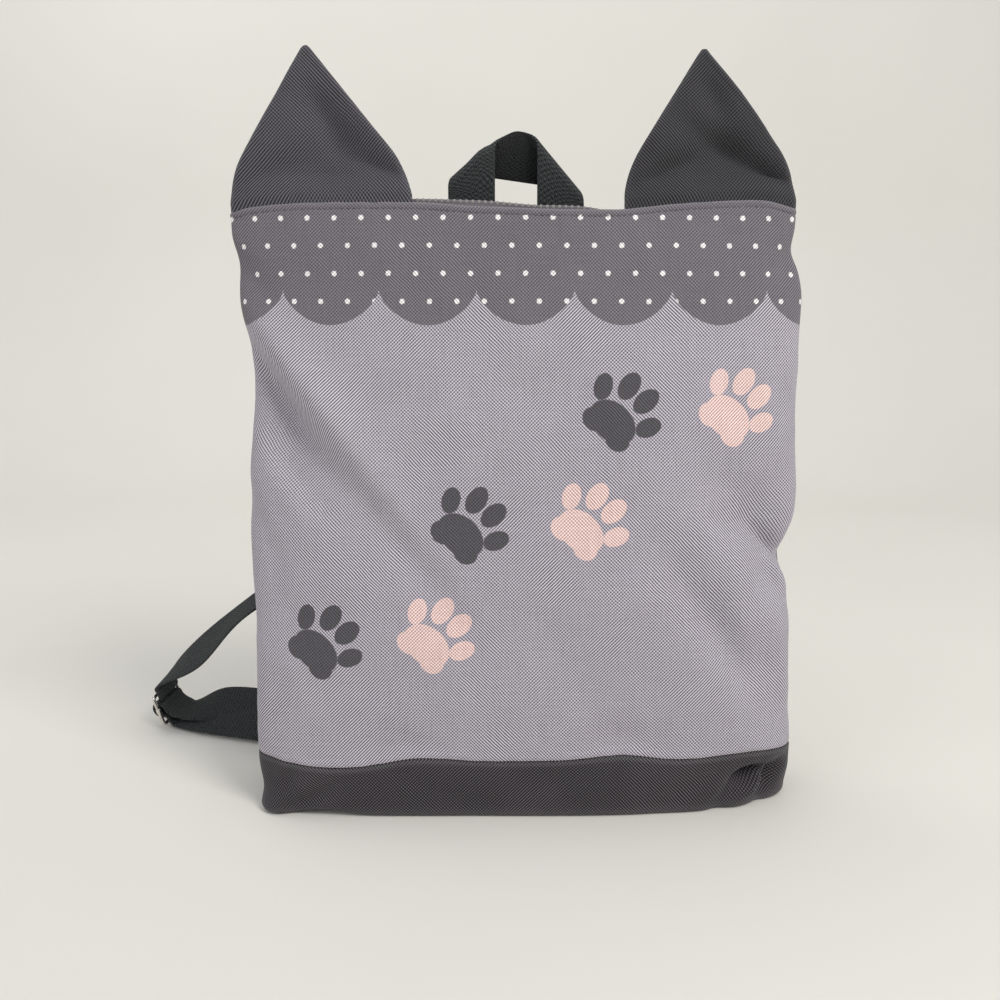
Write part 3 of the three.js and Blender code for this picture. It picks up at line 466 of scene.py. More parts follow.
def strip_edge(turn):
    across = smooth_skin(turn, STRIP_HEIGHT)[..., 0] / (BODY_WIDTH / 2)
    rise = STRIP_WAVE * sample(STRIP_LINE, "across", "rise", across)
    return STRIP_HEIGHT + front_share(turn) * rise


def turn_at(x, height, on_back):
    x, height = np.broadcast_arrays(np.asarray(x, float), np.asarray(height, float))
    low = np.full(x.shape, 0.0 if on_back else 2.0)
    high = low + 2
    for _ in range(24):
        middle = (low + high) / 2
        too_far_right = smooth_skin(middle, height)[..., 0] > x
        go_up = too_far_right == on_back
        low = np.where(go_up, middle, low)
        high = np.where(go_up, high, middle)
    return (low + high) / 2


# Mesh helpers


def mesh_object(name, points, faces, materials, uv=None, indices=None, wear_and_painted_light=None, sharp=40):
    """Makes an object of points in millimetres, with its faces turned outwards."""
    points = np.asarray(points, float)
    faces = [list(face) for face in faces]
    corners = np.array(
        [(face[0], face[i], face[i + 1]) for face in faces for i in range(1, len(face) - 1)]
    )
    a, b, c = points[corners[:, 0]], points[corners[:, 1]], points[corners[:, 2]]
    if (a * np.cross(b, c)).sum() < 0:
        faces = [face[::-1] for face in faces]
    mesh = bpy.data.meshes.new(name)
    mesh.from_pydata((points * MM).tolist(), [], faces)
    for material in materials:
        mesh.materials.append(material)
    if indices is not None:
        mesh.polygons.foreach_set("material_index", np.asarray(indices, dtype=np.int32))
    mesh.polygons.foreach_set("use_smooth", np.ones(len(faces), dtype=bool))
    if uv is not None:
        layer = mesh.uv_layers.new(name="cloth")
        corner = np.zeros(len(mesh.loops), dtype=np.int32)
        mesh.loops.foreach_get("vertex_index", corner)
        layer.data.foreach_set("uv", (np.asarray(uv)[corner] * MM).astype(np.float32).ravel())
    # The wear_and_painted_light attribute holds lighter worn places and painted light: a painted
    # highlight on the panels' top edge and painted shade on the handle's inner band.
    if wear_and_painted_light is not None:
        layer = mesh.attributes.new("wear_and_painted_light", "FLOAT", "POINT")
        layer.data.foreach_set("value", np.asarray(wear_and_painted_light, dtype=np.float32))
    mesh.set_sharp_from_angle(angle=math.radians(sharp))
    mesh.update()
    obj = bpy.data.objects.new(name, mesh)
    bpy.context.collection.objects.link(obj)
    return obj


def grid_normals(grid):
    around = np.gradient(grid, axis=1)
    rise = np.gradient(grid, axis=0)
    return unit(np.cross(around, rise))


def quads(a, b, c, d):
    return np.stack([a.ravel(), b.ravel(), c.ravel(), d.ravel()], axis=1)


def grid_uv(grid, middle_column=None, heights=None):
    """Distances along and up the cloth, from its middle column and its lowest row."""
    steps = np.linalg.norm(np.diff(grid, axis=1), axis=2)
    along = np.concatenate([np.zeros((grid.shape[0], 1)), np.cumsum(steps, axis=1)], axis=1)
    if middle_column is None:
        middle_column = grid.shape[1] // 2
    along = along - along[:, middle_column][:, None]
    if heights is None:
        rises = np.linalg.norm(np.diff(grid, axis=0), axis=2)
        heights = np.concatenate([np.zeros((1, grid.shape[1])), np.cumsum(rises, axis=0)], axis=0)
    return np.stack([along, heights], axis=2)


def shell_object(name, outer, inner, materials, uv, wear_and_painted_light=None):
    """Closes an outer and an inner grid into one piece. The inside takes the last material."""
    rows, columns = outer.shape[:2]
    at = np.arange(rows * columns).reshape(rows, columns)
    under = at + rows * columns
    faces = [
        quads(at[:-1, :-1], at[:-1, 1:], at[1:, 1:], at[1:, :-1]),
        quads(under[:-1, :-1], under[1:, :-1], under[1:, 1:], under[:-1, 1:]),
        quads(at[0, :-1], under[0, :-1], under[0, 1:], at[0, 1:]),
        quads(at[-1, :-1], at[-1, 1:], under[-1, 1:], under[-1, :-1]),
        quads(at[:-1, 0], at[1:, 0], under[1:, 0], under[:-1, 0]),
        quads(at[:-1, -1], under[:-1, -1], under[1:, -1], at[1:, -1]),
    ]
    inside = len(materials) - 1
    indices = np.concatenate(
        [np.full(len(part), inside if i == 1 else 0) for i, part in enumerate(faces)]
    )
    points = np.concatenate([outer.reshape(-1, 3), inner.reshape(-1, 3)])
    flat_uv = uv.reshape(-1, 2)
    doubled_wear_and_painted_light = None if wear_and_painted_light is None else np.concatenate([wear_and_painted_light.ravel(), wear_and_painted_light.ravel()])
    return mesh_object(
        name,
        points,
        np.concatenate(faces),
        materials,
        uv=np.concatenate([flat_uv, flat_uv]),
        indices=indices,
        wear_and_painted_light=doubled_wear_and_painted_light,
    )


def cloth_shell(name, grid, facing, half, material, uv, wear_and_painted_light=None):
    """A cloth of the given half thickness on both sides of a grid."""
    lift = facing * half[..., None]
    return shell_object(name, grid + lift, grid - lift, [material], uv, wear_and_painted_light)


def joined(parts):
    """Joins (points, faces) pairs into one pair."""
    points = []
    faces = []
    start = 0
    for part_points, part_faces in parts:
        points.append(part_points)
        faces.extend([[start + i for i in face] for face in part_faces])
        start += len(part_points)
    return np.concatenate(points), faces


def swept(rings, closed=False):
    """A solid through rings of points, capped at its ends unless it closes on itself."""
    rings = np.asarray(rings)
    count, around = rings.shape[:2]
    faces = []
    for i in range(count if closed else count - 1):
        k = (i + 1) % count
        for j in range(around):
            m = (j + 1) % around
            faces.append([i * around + j, i * around + m, k * around + m, k * around + j])
    if not closed:
        faces.append(list(range(around))[::-1])
        faces.append([(count - 1) * around + j for j in range(around)])
    return rings.reshape(-1, 3), faces


def tube(path, radius_out, radius_side, side_ways, closed=True):
    """A bar of oval section swept along a path, with the direction to its side at each point."""
    around = 14
    if closed:
        tangent = np.roll(path, -1, axis=0) - np.roll(path, 1, axis=0)
    else:
        tangent = np.gradient(path, axis=0)
    tangent = unit(tangent)
    side = unit(side_ways - tangent * (side_ways * tangent).sum(axis=1)[:, None])
    out = np.cross(tangent, side)
    angle = np.linspace(0, 2 * math.pi, around, endpoint=False)
    rings = (
        path[:, None]
        + side[:, None] * (radius_side * np.cos(angle))[None, :, None]
        + out[:, None] * (radius_out * np.sin(angle))[None, :, None]
    )
    return swept(rings, closed)


def stitch_line(points, normals, pitch=3.0, length=2.1, radius=0.28):
    """Single stitches along a line, each a short rounded bar of thread lying on the cloth."""
    sink = 0.05
    around = 6
    angle = np.linspace(0, 2 * math.pi, around, endpoint=False)
    profile = [(0.0, 0.35), (0.14, 0.9), (0.5, 1.1), (0.86, 0.9), (1.0, 0.35)]
    steps = np.linalg.norm(np.diff(points, axis=0), axis=1)
    reach = np.concatenate([[0], np.cumsum(steps)])
    parts = []
    lift = radius - sink

    def read(values, at):
        return np.array([np.interp(at, reach, values[:, k]) for k in range(3)])

    for i in range(int(reach[-1] / pitch)):
        middle_at = (i + 0.5) * pitch
        ends = [read(points, middle_at - length / 2), read(points, middle_at + length / 2)]
        normal = unit(read(normals, middle_at))
        way = unit(ends[1] - ends[0])
        side = unit(np.cross(normal, way))
        rings = []
        for share, size in profile:
            middle = ends[0] + (ends[1] - ends[0]) * share + normal * lift * min(1, size)
            rings.append(
                middle
                + side * (radius * size * np.cos(angle))[:, None]
                + normal * (radius * size * np.sin(angle))[:, None]
            )
        parts.append(swept(rings))
    return parts


def sewn(path, out):
    """Stitches along a path on webbing that faces one way."""
    path = np.array(path) + out * (WEBBING_WALL / 2)
    return stitch_line(path, np.tile(out, (len(path), 1)), pitch=2.6, length=2.0)


# Materials


class Nodes:
    """A short way to write a node tree."""

    def __init__(self, name):
        self.material = bpy.data.materials.new(name)
        self.material.use_nodes = True
        self.tree = self.material.node_tree
        self.tree.nodes.clear()

    def add(self, kind, inputs=None, **settings):
        node = self.tree.nodes.new(kind)
        for key, value in settings.items():
            setattr(node, key, value)
        for key, value in (inputs or {}).items():
            if isinstance(value, bpy.types.NodeSocket):
                self.tree.links.new(value, node.inputs[key])
            else:
                node.inputs[key].default_value = value
        return node

    def math(self, operation, a, b=0.0, c=0.0, clamp=False):
        inputs = {0: a, 1: b, 2: c}
        return self.add("ShaderNodeMath", inputs, operation=operation, use_clamp=clamp).outputs[0]

    def vector(self, operation, a, b=(0, 0, 0)):
        return self.add("ShaderNodeVectorMath", {0: a, 1: b}, operation=operation)

    def noise(self, vector, scale, detail, roughness=0.5):
        inputs = {"Vector": vector, "Scale": scale, "Detail": detail, "Roughness": roughness}
        return self.add("ShaderNodeTexNoise", inputs).outputs["Fac"]

    def spread(self, value, low, high, to_low, to_high):
        inputs = {0: value, 1: low, 2: high, 3: to_low, 4: to_high}
        return self.add("ShaderNodeMapRange", inputs).outputs[0]

    def mix(self, share, first, second, blend="MIX"):
        inputs = {0: share, 6: first, 7: second}
        return self.add("ShaderNodeMix", inputs, data_type="RGBA", blend_type=blend).outputs[2]

    def bump(self, height, strength, distance):
        inputs = {"Strength": strength, "Distance": distance, "Height": height}
        return self.add("ShaderNodeBump", inputs).outputs[0]

    def cloth_place(self):
        """The place on the cloth in millimetres, and its parts across and along."""
        uv = self.add("ShaderNodeUVMap", uv_map="cloth").outputs[0]
        in_mm = self.vector("MULTIPLY", uv, (1000, 1000, 1000)).outputs[0]
        split = self.add("ShaderNodeSeparateXYZ", {0: in_mm})
        return in_mm, split.outputs[0], split.outputs[1]

    def cloudy(self, scale, detail, roughness=0.5):
        """Unevenness through the space of the object."""
        place = self.add("ShaderNodeTexCoord").outputs["Object"]
        return self.noise(place, scale, detail, roughness)

    def finish(self, surface):
        shader = self.add("ShaderNodeBsdfPrincipled", surface)
        self.add("ShaderNodeOutputMaterial", {"Surface": shader.outputs[0]})
        return self.material


def colour(red, green, blue):
    """A linear colour from the sRGB one."""
    linear = []
    for value in (red, green, blue):
        share = value / 255
        linear.append(share / 12.92 if share <= 0.04045 else ((share + 0.055) / 1.055) ** 2.4)
    return (*linear, 1.0)


YARN = 0.9
FOREHEAD = colour(112, 107, 113)
LILAC = colour(167, 161, 170)
CHARCOAL_PRINT = colour(82, 79, 84)
PINK = colour(228, 198, 192)
PALE_MARK = colour(236, 232, 230)
EAR_GREY = colour(75, 73, 78)
# Painted shade: the right ear is the same cloth as the left, given a darker grey to stand in for the
# shade on it.
RIGHT_EAR_SHADED_GREY = colour(52, 51, 54)
BASE_GREY = colour(46, 43, 46)


def paw_distance(nodes, vector):
    """How far a place is from a paw print of about 36 mm, below 1 inside it."""
    ovals = [
        (0.0, -4.5, 12.0, 8.5, 0),
        (-7.0, -9.0, 6.0, 5.2, 0),
        (7.0, -9.0, 6.0, 5.2, 0),
        (-14.0, 4.5, 4.3, 6.2, 26),
        (-5.2, 12.5, 4.6, 6.8, 8),
        (5.2, 12.5, 4.6, 6.8, -8),
        (14.0, 4.5, 4.3, 6.2, -26),
    ]
    nearest = None
    for x, y, wide, high, turn in ovals:
        inputs = {
            "Vector": vector,
            "Location": (x, y, 0),
            "Rotation": (0, 0, math.radians(turn)),
            "Scale": (wide, high, 1),
        }
        place = nodes.add("ShaderNodeMapping", inputs, vector_type="TEXTURE").outputs[0]
        distance = nodes.vector("LENGTH", place).outputs["Value"]
        nearest = distance if nearest is None else nodes.math("MINIMUM", nearest, distance)
    return nearest


def printed_colour(nodes, u, v, jitter):
    """The printed design: a scalloped dark band with dots, and a trail of paw prints below."""
    lobe = 50.0
    band_low = 279.0
    lobe_drop = 18.0
    phase = nodes.math("MULTIPLY", u, math.pi / lobe)
    lobes = nodes.math("ABSOLUTE", nodes.math("COSINE", phase))
    rounded = nodes.math("POWER", lobes, 0.6)
    edge = nodes.math("SUBTRACT", band_low, nodes.math("MULTIPLY", rounded, lobe_drop))
    edge = nodes.math("ADD", edge, jitter)
    band = nodes.spread(nodes.math("SUBTRACT", v, edge), -0.2, 0.2, 0.0, 1.0)

    spacing = 14.0
    dot_size = 1.35
    row = nodes.math("FLOOR", nodes.math("DIVIDE", v, spacing))
    shift = nodes.math("MULTIPLY", nodes.math("MODULO", row, 2.0), spacing / 2)
    local_u = nodes.math("WRAP", nodes.math("ADD", u, shift), spacing / 2, -spacing / 2)
    local_v = nodes.math("WRAP", nodes.math("SUBTRACT", v, spacing / 2), spacing / 2, -spacing / 2)
    from_dot = nodes.math("SQRT", nodes.math("ADD", nodes.math("MULTIPLY", local_u, local_u),
                                             nodes.math("MULTIPLY", local_v, local_v)))
    dot = nodes.spread(nodes.math("ADD", from_dot, nodes.math("MULTIPLY", jitter, 0.5)),
                       dot_size - 0.2, dot_size + 0.2, 1.0, 0.0)
    band_colour = nodes.mix(dot, FOREHEAD, PALE_MARK)

    place = nodes.add("ShaderNodeCombineXYZ", {0: nodes.math("ADD", u, jitter), 1: v}).outputs[0]
    prints = [
        (-107, 96, "dark"), (-48, 100, "pink"), (-30, 158, "dark"),
        (32, 160, "pink"), (48, 216, "dark"), (108, 218, "pink"),
    ]
    nearest = {"dark": None, "pink": None}
    for x, y, tone in prints:
        inputs = {
            "Vector": place,
            "Location": (x, y, 0),
            "Rotation": (0, 0, math.radians(-42)),
            "Scale": (1.12, 1.12, 1),
        }
        local = nodes.add("ShaderNodeMapping", inputs, vector_type="TEXTURE").outputs[0]
        distance = paw_distance(nodes, local)
        if nearest[tone] is not None:
            distance = nodes.math("MINIMUM", nearest[tone], distance)
        nearest[tone] = distance
    ground = nodes.mix(nodes.spread(nearest["dark"], 0.97, 1.03, 1.0, 0.0), LILAC, CHARCOAL_PRINT)
    ground = nodes.mix(nodes.spread(nearest["pink"], 0.97, 1.03, 1.0, 0.0), ground, PINK)
    return nodes.mix(band, ground, band_colour)


def canvas(name, plain, printed=False, contrast=1.3, yarn=YARN, bump=0.35, sheen=0.12):
    """Coarse plain-woven canvas with uneven yarns, partly painted highlight and shade on the weave,
    lighter worn places, and a painted highlight along the panels' top edge.
    """
    nodes = Nodes(name)
    in_mm, u, v = nodes.cloth_place()
    wander = nodes.noise(in_mm, 0.06, 2)
    wander = nodes.math("MULTIPLY", nodes.math("SUBTRACT", wander, 0.5), 1.2)
    phase_u = nodes.math("MULTIPLY", nodes.math("ADD", u, wander), math.pi / yarn)
    phase_v = nodes.math("MULTIPLY", nodes.math("ADD", v, wander), math.pi / yarn)
    falling = nodes.math("COSINE", nodes.math("SUBTRACT", phase_u, phase_v))
    rising = nodes.math("COSINE", nodes.math("ADD", phase_u, phase_v))
    leaning = nodes.spread(nodes.noise(in_mm, 0.011, 2), 0.38, 0.62, 0.1, 0.9)
    weave = nodes.math("SUBTRACT", nodes.math("MULTIPLY", falling, leaning),
                       nodes.math("MULTIPLY", rising, nodes.math("SUBTRACT", 1.0, leaning)))
    weft = nodes.noise(nodes.vector("MULTIPLY", in_mm, (0.05, 1.1, 1)).outputs[0], 1.0, 1)
    warp = nodes.noise(nodes.vector("MULTIPLY", in_mm, (1.1, 0.05, 1)).outputs[0], 1.0, 1)
    slub = nodes.math("SUBTRACT", nodes.math("ADD", weft, warp), 1.0)
    cloudy = nodes.math("SUBTRACT", nodes.noise(in_mm, 0.018, 3), 0.5)
    speck = nodes.math("SUBTRACT", nodes.noise(in_mm, 0.9, 2), 0.5)

    if printed:
        jitter = nodes.math("MULTIPLY", nodes.math("SUBTRACT", nodes.noise(in_mm, 0.7, 2), 0.5), 0.8)
        base = printed_colour(nodes, u, v, jitter)
        pale = nodes.add("ShaderNodeRGBToBW", {0: base}).outputs[0]
        on_dark = nodes.spread(pale, 0.16, 0.34, 0.5, 0.8)
        on_pale = nodes.spread(pale, 0.4, 0.7, 0.8, 0.35)
        strength = nodes.math("MULTIPLY", nodes.math("MINIMUM", on_dark, on_pale), contrast)
    else:
        base = plain
        strength = contrast
    # The weave's height also sets the colour: yarn crowns lighter, hollows darker, partly the yarns' own
    # tone and partly painted highlight and shade.
    tone = nodes.math("MULTIPLY_ADD", weave, strength, 1.0)
    tone = nodes.math("MULTIPLY_ADD", slub, 0.22, tone)
    tone = nodes.math("MULTIPLY_ADD", cloudy, 0.16, tone)
    tone = nodes.math("MAXIMUM", nodes.math("MULTIPLY_ADD", speck, 0.2, tone), 0.1)
    woven = nodes.mix(1.0, base, tone, "MULTIPLY")
    # Lighter places from the wear_and_painted_light attribute: wear, and the painted highlight along the
    # panels' top edge.
    wear_and_painted_light = nodes.add("ShaderNodeAttribute", attribute_name="wear_and_painted_light").outputs["Fac"]
    patchy = nodes.math("MULTIPLY", wear_and_painted_light, nodes.spread(speck, -0.2, 0.25, 0.4, 1.0), clamp=True)
    faded_and_highlit = nodes.mix(0.5, woven, colour(190, 186, 188))
    shown = nodes.mix(nodes.math("MULTIPLY", patchy, 0.55), woven, faded_and_highlit)

    height = nodes.math("MULTIPLY_ADD", slub, 0.35, weave)
    raised = nodes.bump(height, bump, 0.0005)
    roughness = nodes.math("MULTIPLY_ADD", weave, -0.07, 0.78)
    return nodes.finish(
        {
            "Base Color": shown,
            "Roughness": roughness,
            "Normal": raised,
            "Sheen Weight": sheen,
            "Sheen Roughness": 0.45,
            "Specular IOR Level": 0.35,
        }
    )


def webbing_material(name, dark, light):
    """Heavy ribbed webbing: rows of small knuckles, coloured by their height, partly the yarn's own tone
    and partly painted highlight on the knuckles and painted shade in the lanes between the yarns.
    """
    rib = 2.2
    column = 2.0
    nodes = Nodes(name)
    in_mm, u, v = nodes.cloth_place()
    wander = nodes.math("MULTIPLY", nodes.math("SUBTRACT", nodes.noise(in_mm, 0.3, 2), 0.5), 1.3)
    ribs = nodes.math("SINE", nodes.math("MULTIPLY", nodes.math("ADD", v, wander), 2 * math.pi / rib))
    lanes = nodes.math("SINE", nodes.math("MULTIPLY", nodes.math("ADD", u, wander), 2 * math.pi / column))
    knuckle = nodes.math("MULTIPLY", ribs, lanes)
    height = nodes.math("MULTIPLY_ADD", knuckle, 0.9, nodes.math("MULTIPLY", ribs, 0.35))
    fuzz = nodes.math("SUBTRACT", nodes.noise(in_mm, 1.1, 4, 0.75), 0.5)
    height = nodes.math("MULTIPLY_ADD", fuzz, 4.2, height)
    # Painted highlight and shade: the colour runs from dark in the lanes to light on the knuckles, over
    # the yarn's own tone.
    share = nodes.spread(height, -0.9, 1.5, 0.0, 1.0)
    shown = nodes.mix(share, dark, light)
    # Painted shade: where the wear_and_painted_light attribute is set, as on the handle's inner band
    # behind its legs, the colour is darkened towards near black.
    under = nodes.add("ShaderNodeAttribute", attribute_name="wear_and_painted_light").outputs["Fac"]
    shown = nodes.mix(nodes.math("MULTIPLY", under, 0.9), shown, colour(9, 11, 13))
    raised = nodes.bump(height, 1.0, 0.0006)
    return nodes.finish(
        {
            "Base Color": shown,
            "Roughness": 0.88,
            "Normal": raised,
            "Sheen Weight": 0.12,
            "Sheen Roughness": 0.5,
            "Specular IOR Level": 0.2,
        }
    )


def plastic_material(name, base):
    nodes = Nodes(name)
    cloudy = nodes.cloudy(900.0, 3)
    shown = nodes.mix(1.0, base, nodes.spread(cloudy, 0.2, 0.8, 0.85, 1.15), "MULTIPLY")
    raised = nodes.bump(cloudy, 0.08, 0.0002)
    return nodes.finish(
        {
            "Base Color": shown,
            "Roughness": nodes.spread(cloudy, 0.2, 0.8, 0.36, 0.5),
            "Normal": raised,
        }
    )


def nickel_material():
    nodes = Nodes("nickel")
    rubbed = nodes.cloudy(260.0, 4, 0.6)
    dulled = nodes.spread(rubbed, 0.35, 0.7, 0.0, 1.0)
    shown = nodes.mix(dulled, colour(236, 233, 227), colour(205, 201, 193))
    raised = nodes.bump(rubbed, 0.05, 0.0002)
    return nodes.finish(
        {
            "Base Color": shown,
            "Metallic": 1.0,
            "Roughness": nodes.spread(rubbed, 0.3, 0.7, 0.14, 0.3),
            "Normal": raised,
        }
    )


def thread_material(name, base):
    nodes = Nodes(name)
    twist = nodes.cloudy(2600.0, 2)
    shown = nodes.mix(1.0, base, nodes.spread(twist, 0.3, 0.7, 0.75, 1.25), "MULTIPLY")
    return nodes.finish(
        {"Base Color": shown, "Roughness": 0.6, "Sheen Weight": 0.3, "Sheen Roughness": 0.4}
    )


def ground_material():
    nodes = Nodes("pale_ground")
    shown = nodes.mix(nodes.cloudy(3.0, 4), colour(224, 221, 213), colour(231, 228, 220))
    return nodes.finish({"Base Color": shown, "Roughness": 0.85})


PRINTED = canvas("printed_canvas", LILAC, printed=True)
EAR_CANVAS = canvas("grey_canvas", EAR_GREY, contrast=1.2)
# The right ear's darker copy of the grey canvas is painted shade.
RIGHT_EAR_SHADED_CANVAS = canvas("right_ear_shaded_canvas", RIGHT_EAR_SHADED_GREY, contrast=1.2)
EAR_CLOTH = {"left": EAR_CANVAS, "right": RIGHT_EAR_SHADED_CANVAS}
BASE_CANVAS = canvas("base_canvas", BASE_GREY, contrast=4.5)
REVERSE = canvas("canvas_reverse", colour(188, 184, 186), contrast=0.3)
WEBBING = webbing_material("webbing", colour(12, 15, 17), colour(92, 97, 97))
TAPE = canvas("zip_tape", colour(112, 108, 112), contrast=0.2, yarn=0.45, bump=0.2, sheen=0.05)
ZIP_PLASTIC = plastic_material("zip_plastic", colour(142, 138, 134))
NICKEL = nickel_material()
THREAD_GREY = thread_material("thread_grey", colour(96, 93, 98))
THREAD_DARK = thread_material("thread_dark", colour(38, 40, 42))


def seat(piece, nodes):
    """Lets a piece ride on the bag's one body and stand for its node, whose part from the frame is
    hidden.
    """
    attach(piece, "root")
    if nodes:
        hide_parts(*nodes)


# The cloth panels


def edge_rows(length, from_edge, to_edge, step):
    """Places along a length: fine near both ends, then even steps."""
    middle_count = int(round((length - from_edge[-1] - to_edge[-1]) / step))
    middle = np.linspace(from_edge[-1], length - to_edge[-1], middle_count + 1)
    return np.concatenate([from_edge[:-1], middle, length - np.array(to_edge[:-1])[::-1]])


def rim(distance, wall):
    """How far a cloth's face falls back near its edge, so that the edge is round."""
    r = wall / 2
    inside = np.clip(distance, 0, r)
    return r - np.sqrt(r * r - (r - inside) ** 2)


def body_panel(name, from_turn, seed, outer_material):
    near_seam = np.array([0, 0.25, 0.6, 1.0, 1.5, 2.1, 3.0, 4.2])
    near_top = np.array([0, 0.1, 0.3, 0.6, 0.9, 1.3, 1.7, 2.1, 2.5, 2.8, 3.1, 3.4, 3.7, 4.1, 4.7, 5.6])
    round_length = 340.0
    rise_length = BODY_HEIGHT - STRIP_HEIGHT
    across = edge_rows(round_length, near_seam, near_seam, 2.0) / round_length
    up = edge_rows(rise_length, near_seam, near_top, 2.0) / rise_length
    turns = from_turn + SIDE_SHIFT + across * (2 - 2 * SIDE_SHIFT)
    low = strip_edge(turns)
    high = top_edge(turns)
    tuck = LAY_GAP - 0.1
    heights = low[None, :] - tuck + (high - low + tuck)[None, :] * up[:, None]
    turn_grid = np.broadcast_to(turns, heights.shape)
    point = smooth_skin(turn_grid, heights)
    normal = outward_normal(smooth_skin, turn_grid, heights)
    from_top = high[None, :] - heights
    from_low = heights - low[None, :] + tuck
    from_side = np.minimum(across, 1 - across)[None, :] * round_length
    push = fold_push(point, FOLDS)
    x, z = point[..., 0], point[..., 2]
    loose = smooth_step(np.minimum(from_top, from_low), 0, 25)
    push += 0.28 * loose * ripple(x, z, seed, 22, 80)
    push += 0.12 * ripple(x, z, seed + 1, 9, 20) * (0.4 + np.exp(-from_low / 14) + np.exp(-from_top / 9))
    push += 0.3 * np.exp(-((from_low / 1.2) ** 2)) - 0.25 * hump(from_low, 2.6, 1.1)
    push += 0.7 * np.exp(-((from_side / 1.7) ** 2))
    push += 0.3 * hump(from_top, 3.4, 0.45) - 0.18 * hump(from_top, 1.6, 1.1)
    grid = point - normal * push[..., None]
    facing = grid_normals(grid)
    distance = np.minimum(np.minimum(from_top, from_low), from_side)
    fall = rim(distance, PANEL_WALL)
    outer = grid - facing * fall[..., None]
    inner = grid - facing * (PANEL_WALL - fall)[..., None]
    uv = grid_uv(grid, int(np.argmin(np.abs(turns - from_turn - 1))), heights)
    # Lighter marks: the line along the top edge is a painted highlight; the side and low seams and the
    # fold ridges are lighter with wear.
    wear_and_painted_light = 0.7 * hump(from_top, 0.4, 0.7) + 0.3 * np.exp(-((from_side / 2.5) ** 2))
    wear_and_painted_light += 0.6 * hump(from_low, 1.0, 0.8)
    wear_and_painted_light += np.clip(-fold_push(point, FOLDS) / FOLD_DEPTH, 0, 0.6) * 0.5
    piece = shell_object(name + "_cloth", outer, inner, [outer_material, REVERSE], uv, wear_and_painted_light)
    seat(piece, [name])
    seam_at = 3.4
    turn_line = np.linspace(from_turn + 0.03, from_turn + 1.97, 220)
    line = skin(turn_line, top_edge(turn_line) - seam_at)
    ways = outward_normal(skin, turn_line, top_edge(turn_line) - seam_at)
    return stitch_line(line - ways * 0.35, ways, radius=0.26)


def base_panel():
    columns = 260
    turns = np.linspace(0, 4, columns, endpoint=False)
    flat = outward_normal(smooth_skin, turns, np.full(columns, float(BASE_EDGE_ROUND)))
    flat[:, 2] = 0
    flat = unit(flat)
    edge = smooth_skin(turns, BASE_EDGE_ROUND)
    edge = edge - flat * fold_push(edge, FOLDS)[:, None]

    def off_floor(ring):
        arch = 3.4 * hump(ring[:, 0], -106, 15) + 0.9 * hump(ring[:, 0], 118, 16)
        ring[:, 2] += arch * smooth_step(-ring[:, 1], 18, 36) * (1 - smooth_step(ring[:, 2], 0, 15))
        return ring

    def bottom_ring(share, height, inset):
        place = (edge - flat * inset) * share
        place[:, 2] = height
        return off_floor(place)

    rings = [bottom_ring(share, 0, BASE_EDGE_ROUND) for share in (0.3, 0.6, 0.8, 0.92, 1)]
    for angle in np.radians([15, 30, 45, 60, 75]):
        height = BASE_EDGE_ROUND * (1 - math.cos(angle))
        rings.append(bottom_ring(1, height, BASE_EDGE_ROUND * (1 - math.sin(angle))))
    top = strip_edge(turns) - LAY_GAP
    wall = top - BASE_EDGE_ROUND
    from_top = np.array([0, 0.2, 0.5, 0.9, 1.4, 2.0, 2.8])
    shares = np.concatenate([np.linspace(0, 1 - 4 / 26, 14), 1 - from_top[::-1] / 26])

    def wall_ring(share, depth):
        height = BASE_EDGE_ROUND + wall * share
        point = smooth_skin(turns, height)
        normal = outward_normal(smooth_skin, turns, height)
        push = fold_push(point, FOLDS)
        reach = wall * (1 - share)
        slack = smooth_step(share, 0, 0.3) * 0.22
        push += slack * ripple(point[:, 0] + point[:, 1], point[:, 2], 31, 12, 45)
        if depth == 0:
            push += 0.3 * np.exp(-((reach / 1.2) ** 2)) + 0.6 * rim(reach, BASE_WALL)
        else:
            push += depth - rim(reach, BASE_WALL)
        return off_floor(point - normal * push[:, None])

    rings += [wall_ring(share, 0) for share in shares]
    rings += [wall_ring(share, BASE_WALL) for share in (1, 0.98, 0.9, 0.7, 0.5, 0.25, 0)]
    rings += [bottom_ring(share, BASE_WALL, BASE_EDGE_ROUND + BASE_WALL) for share in (1, 0.6, 0.3)]
    grid = np.array(rings)
    count = len(rings)
    start = 1
    at = start + np.arange(count * columns).reshape(count, columns)
    beside = np.roll(at, -1, axis=1)
    faces = quads(at[:-1], beside[:-1], beside[1:], at[1:]).tolist()
    last = start + count * columns
    faces += [[0, beside[0, j], at[0, j]] for j in range(columns)]
    faces += [[last, at[-1, j], beside[-1, j]] for j in range(columns)]
    points = np.concatenate([[[0, 0, 0]], grid.reshape(-1, 3), [[0, 0, BASE_WALL]]])
    around = np.concatenate([[0], np.cumsum(np.linalg.norm(np.diff(edge, axis=0), axis=1))])
    on_bottom = np.zeros(count, dtype=bool)
    on_bottom[:5] = True
    on_bottom[-3:] = True
    uv_grid = np.where(
        on_bottom[:, None, None],
        grid[..., :2],
        np.stack([np.broadcast_to(around, grid.shape[:2]), grid[..., 2]], axis=2),
    )
    uv = np.concatenate([[[0, 0]], uv_grid.reshape(-1, 2), [[0, 0]]])
    to_seam = (top + LAY_GAP)[None, :] - grid[..., 2]
    rubbed_foot = 0.3 * hump(grid[..., 2], 1.5, 3.0) * (grid[..., 2] < 12)
    wear_grid = rubbed_foot + 0.35 * hump(to_seam, 2.0, 1.2)
    wear_and_painted_light = np.concatenate([[0], wear_grid.ravel(), [0]])
    piece = mesh_object("base_panel_cloth", points, faces, [BASE_CANVAS], uv=uv, wear_and_painted_light=wear_and_painted_light)
    seat(piece, ["base_panel"])


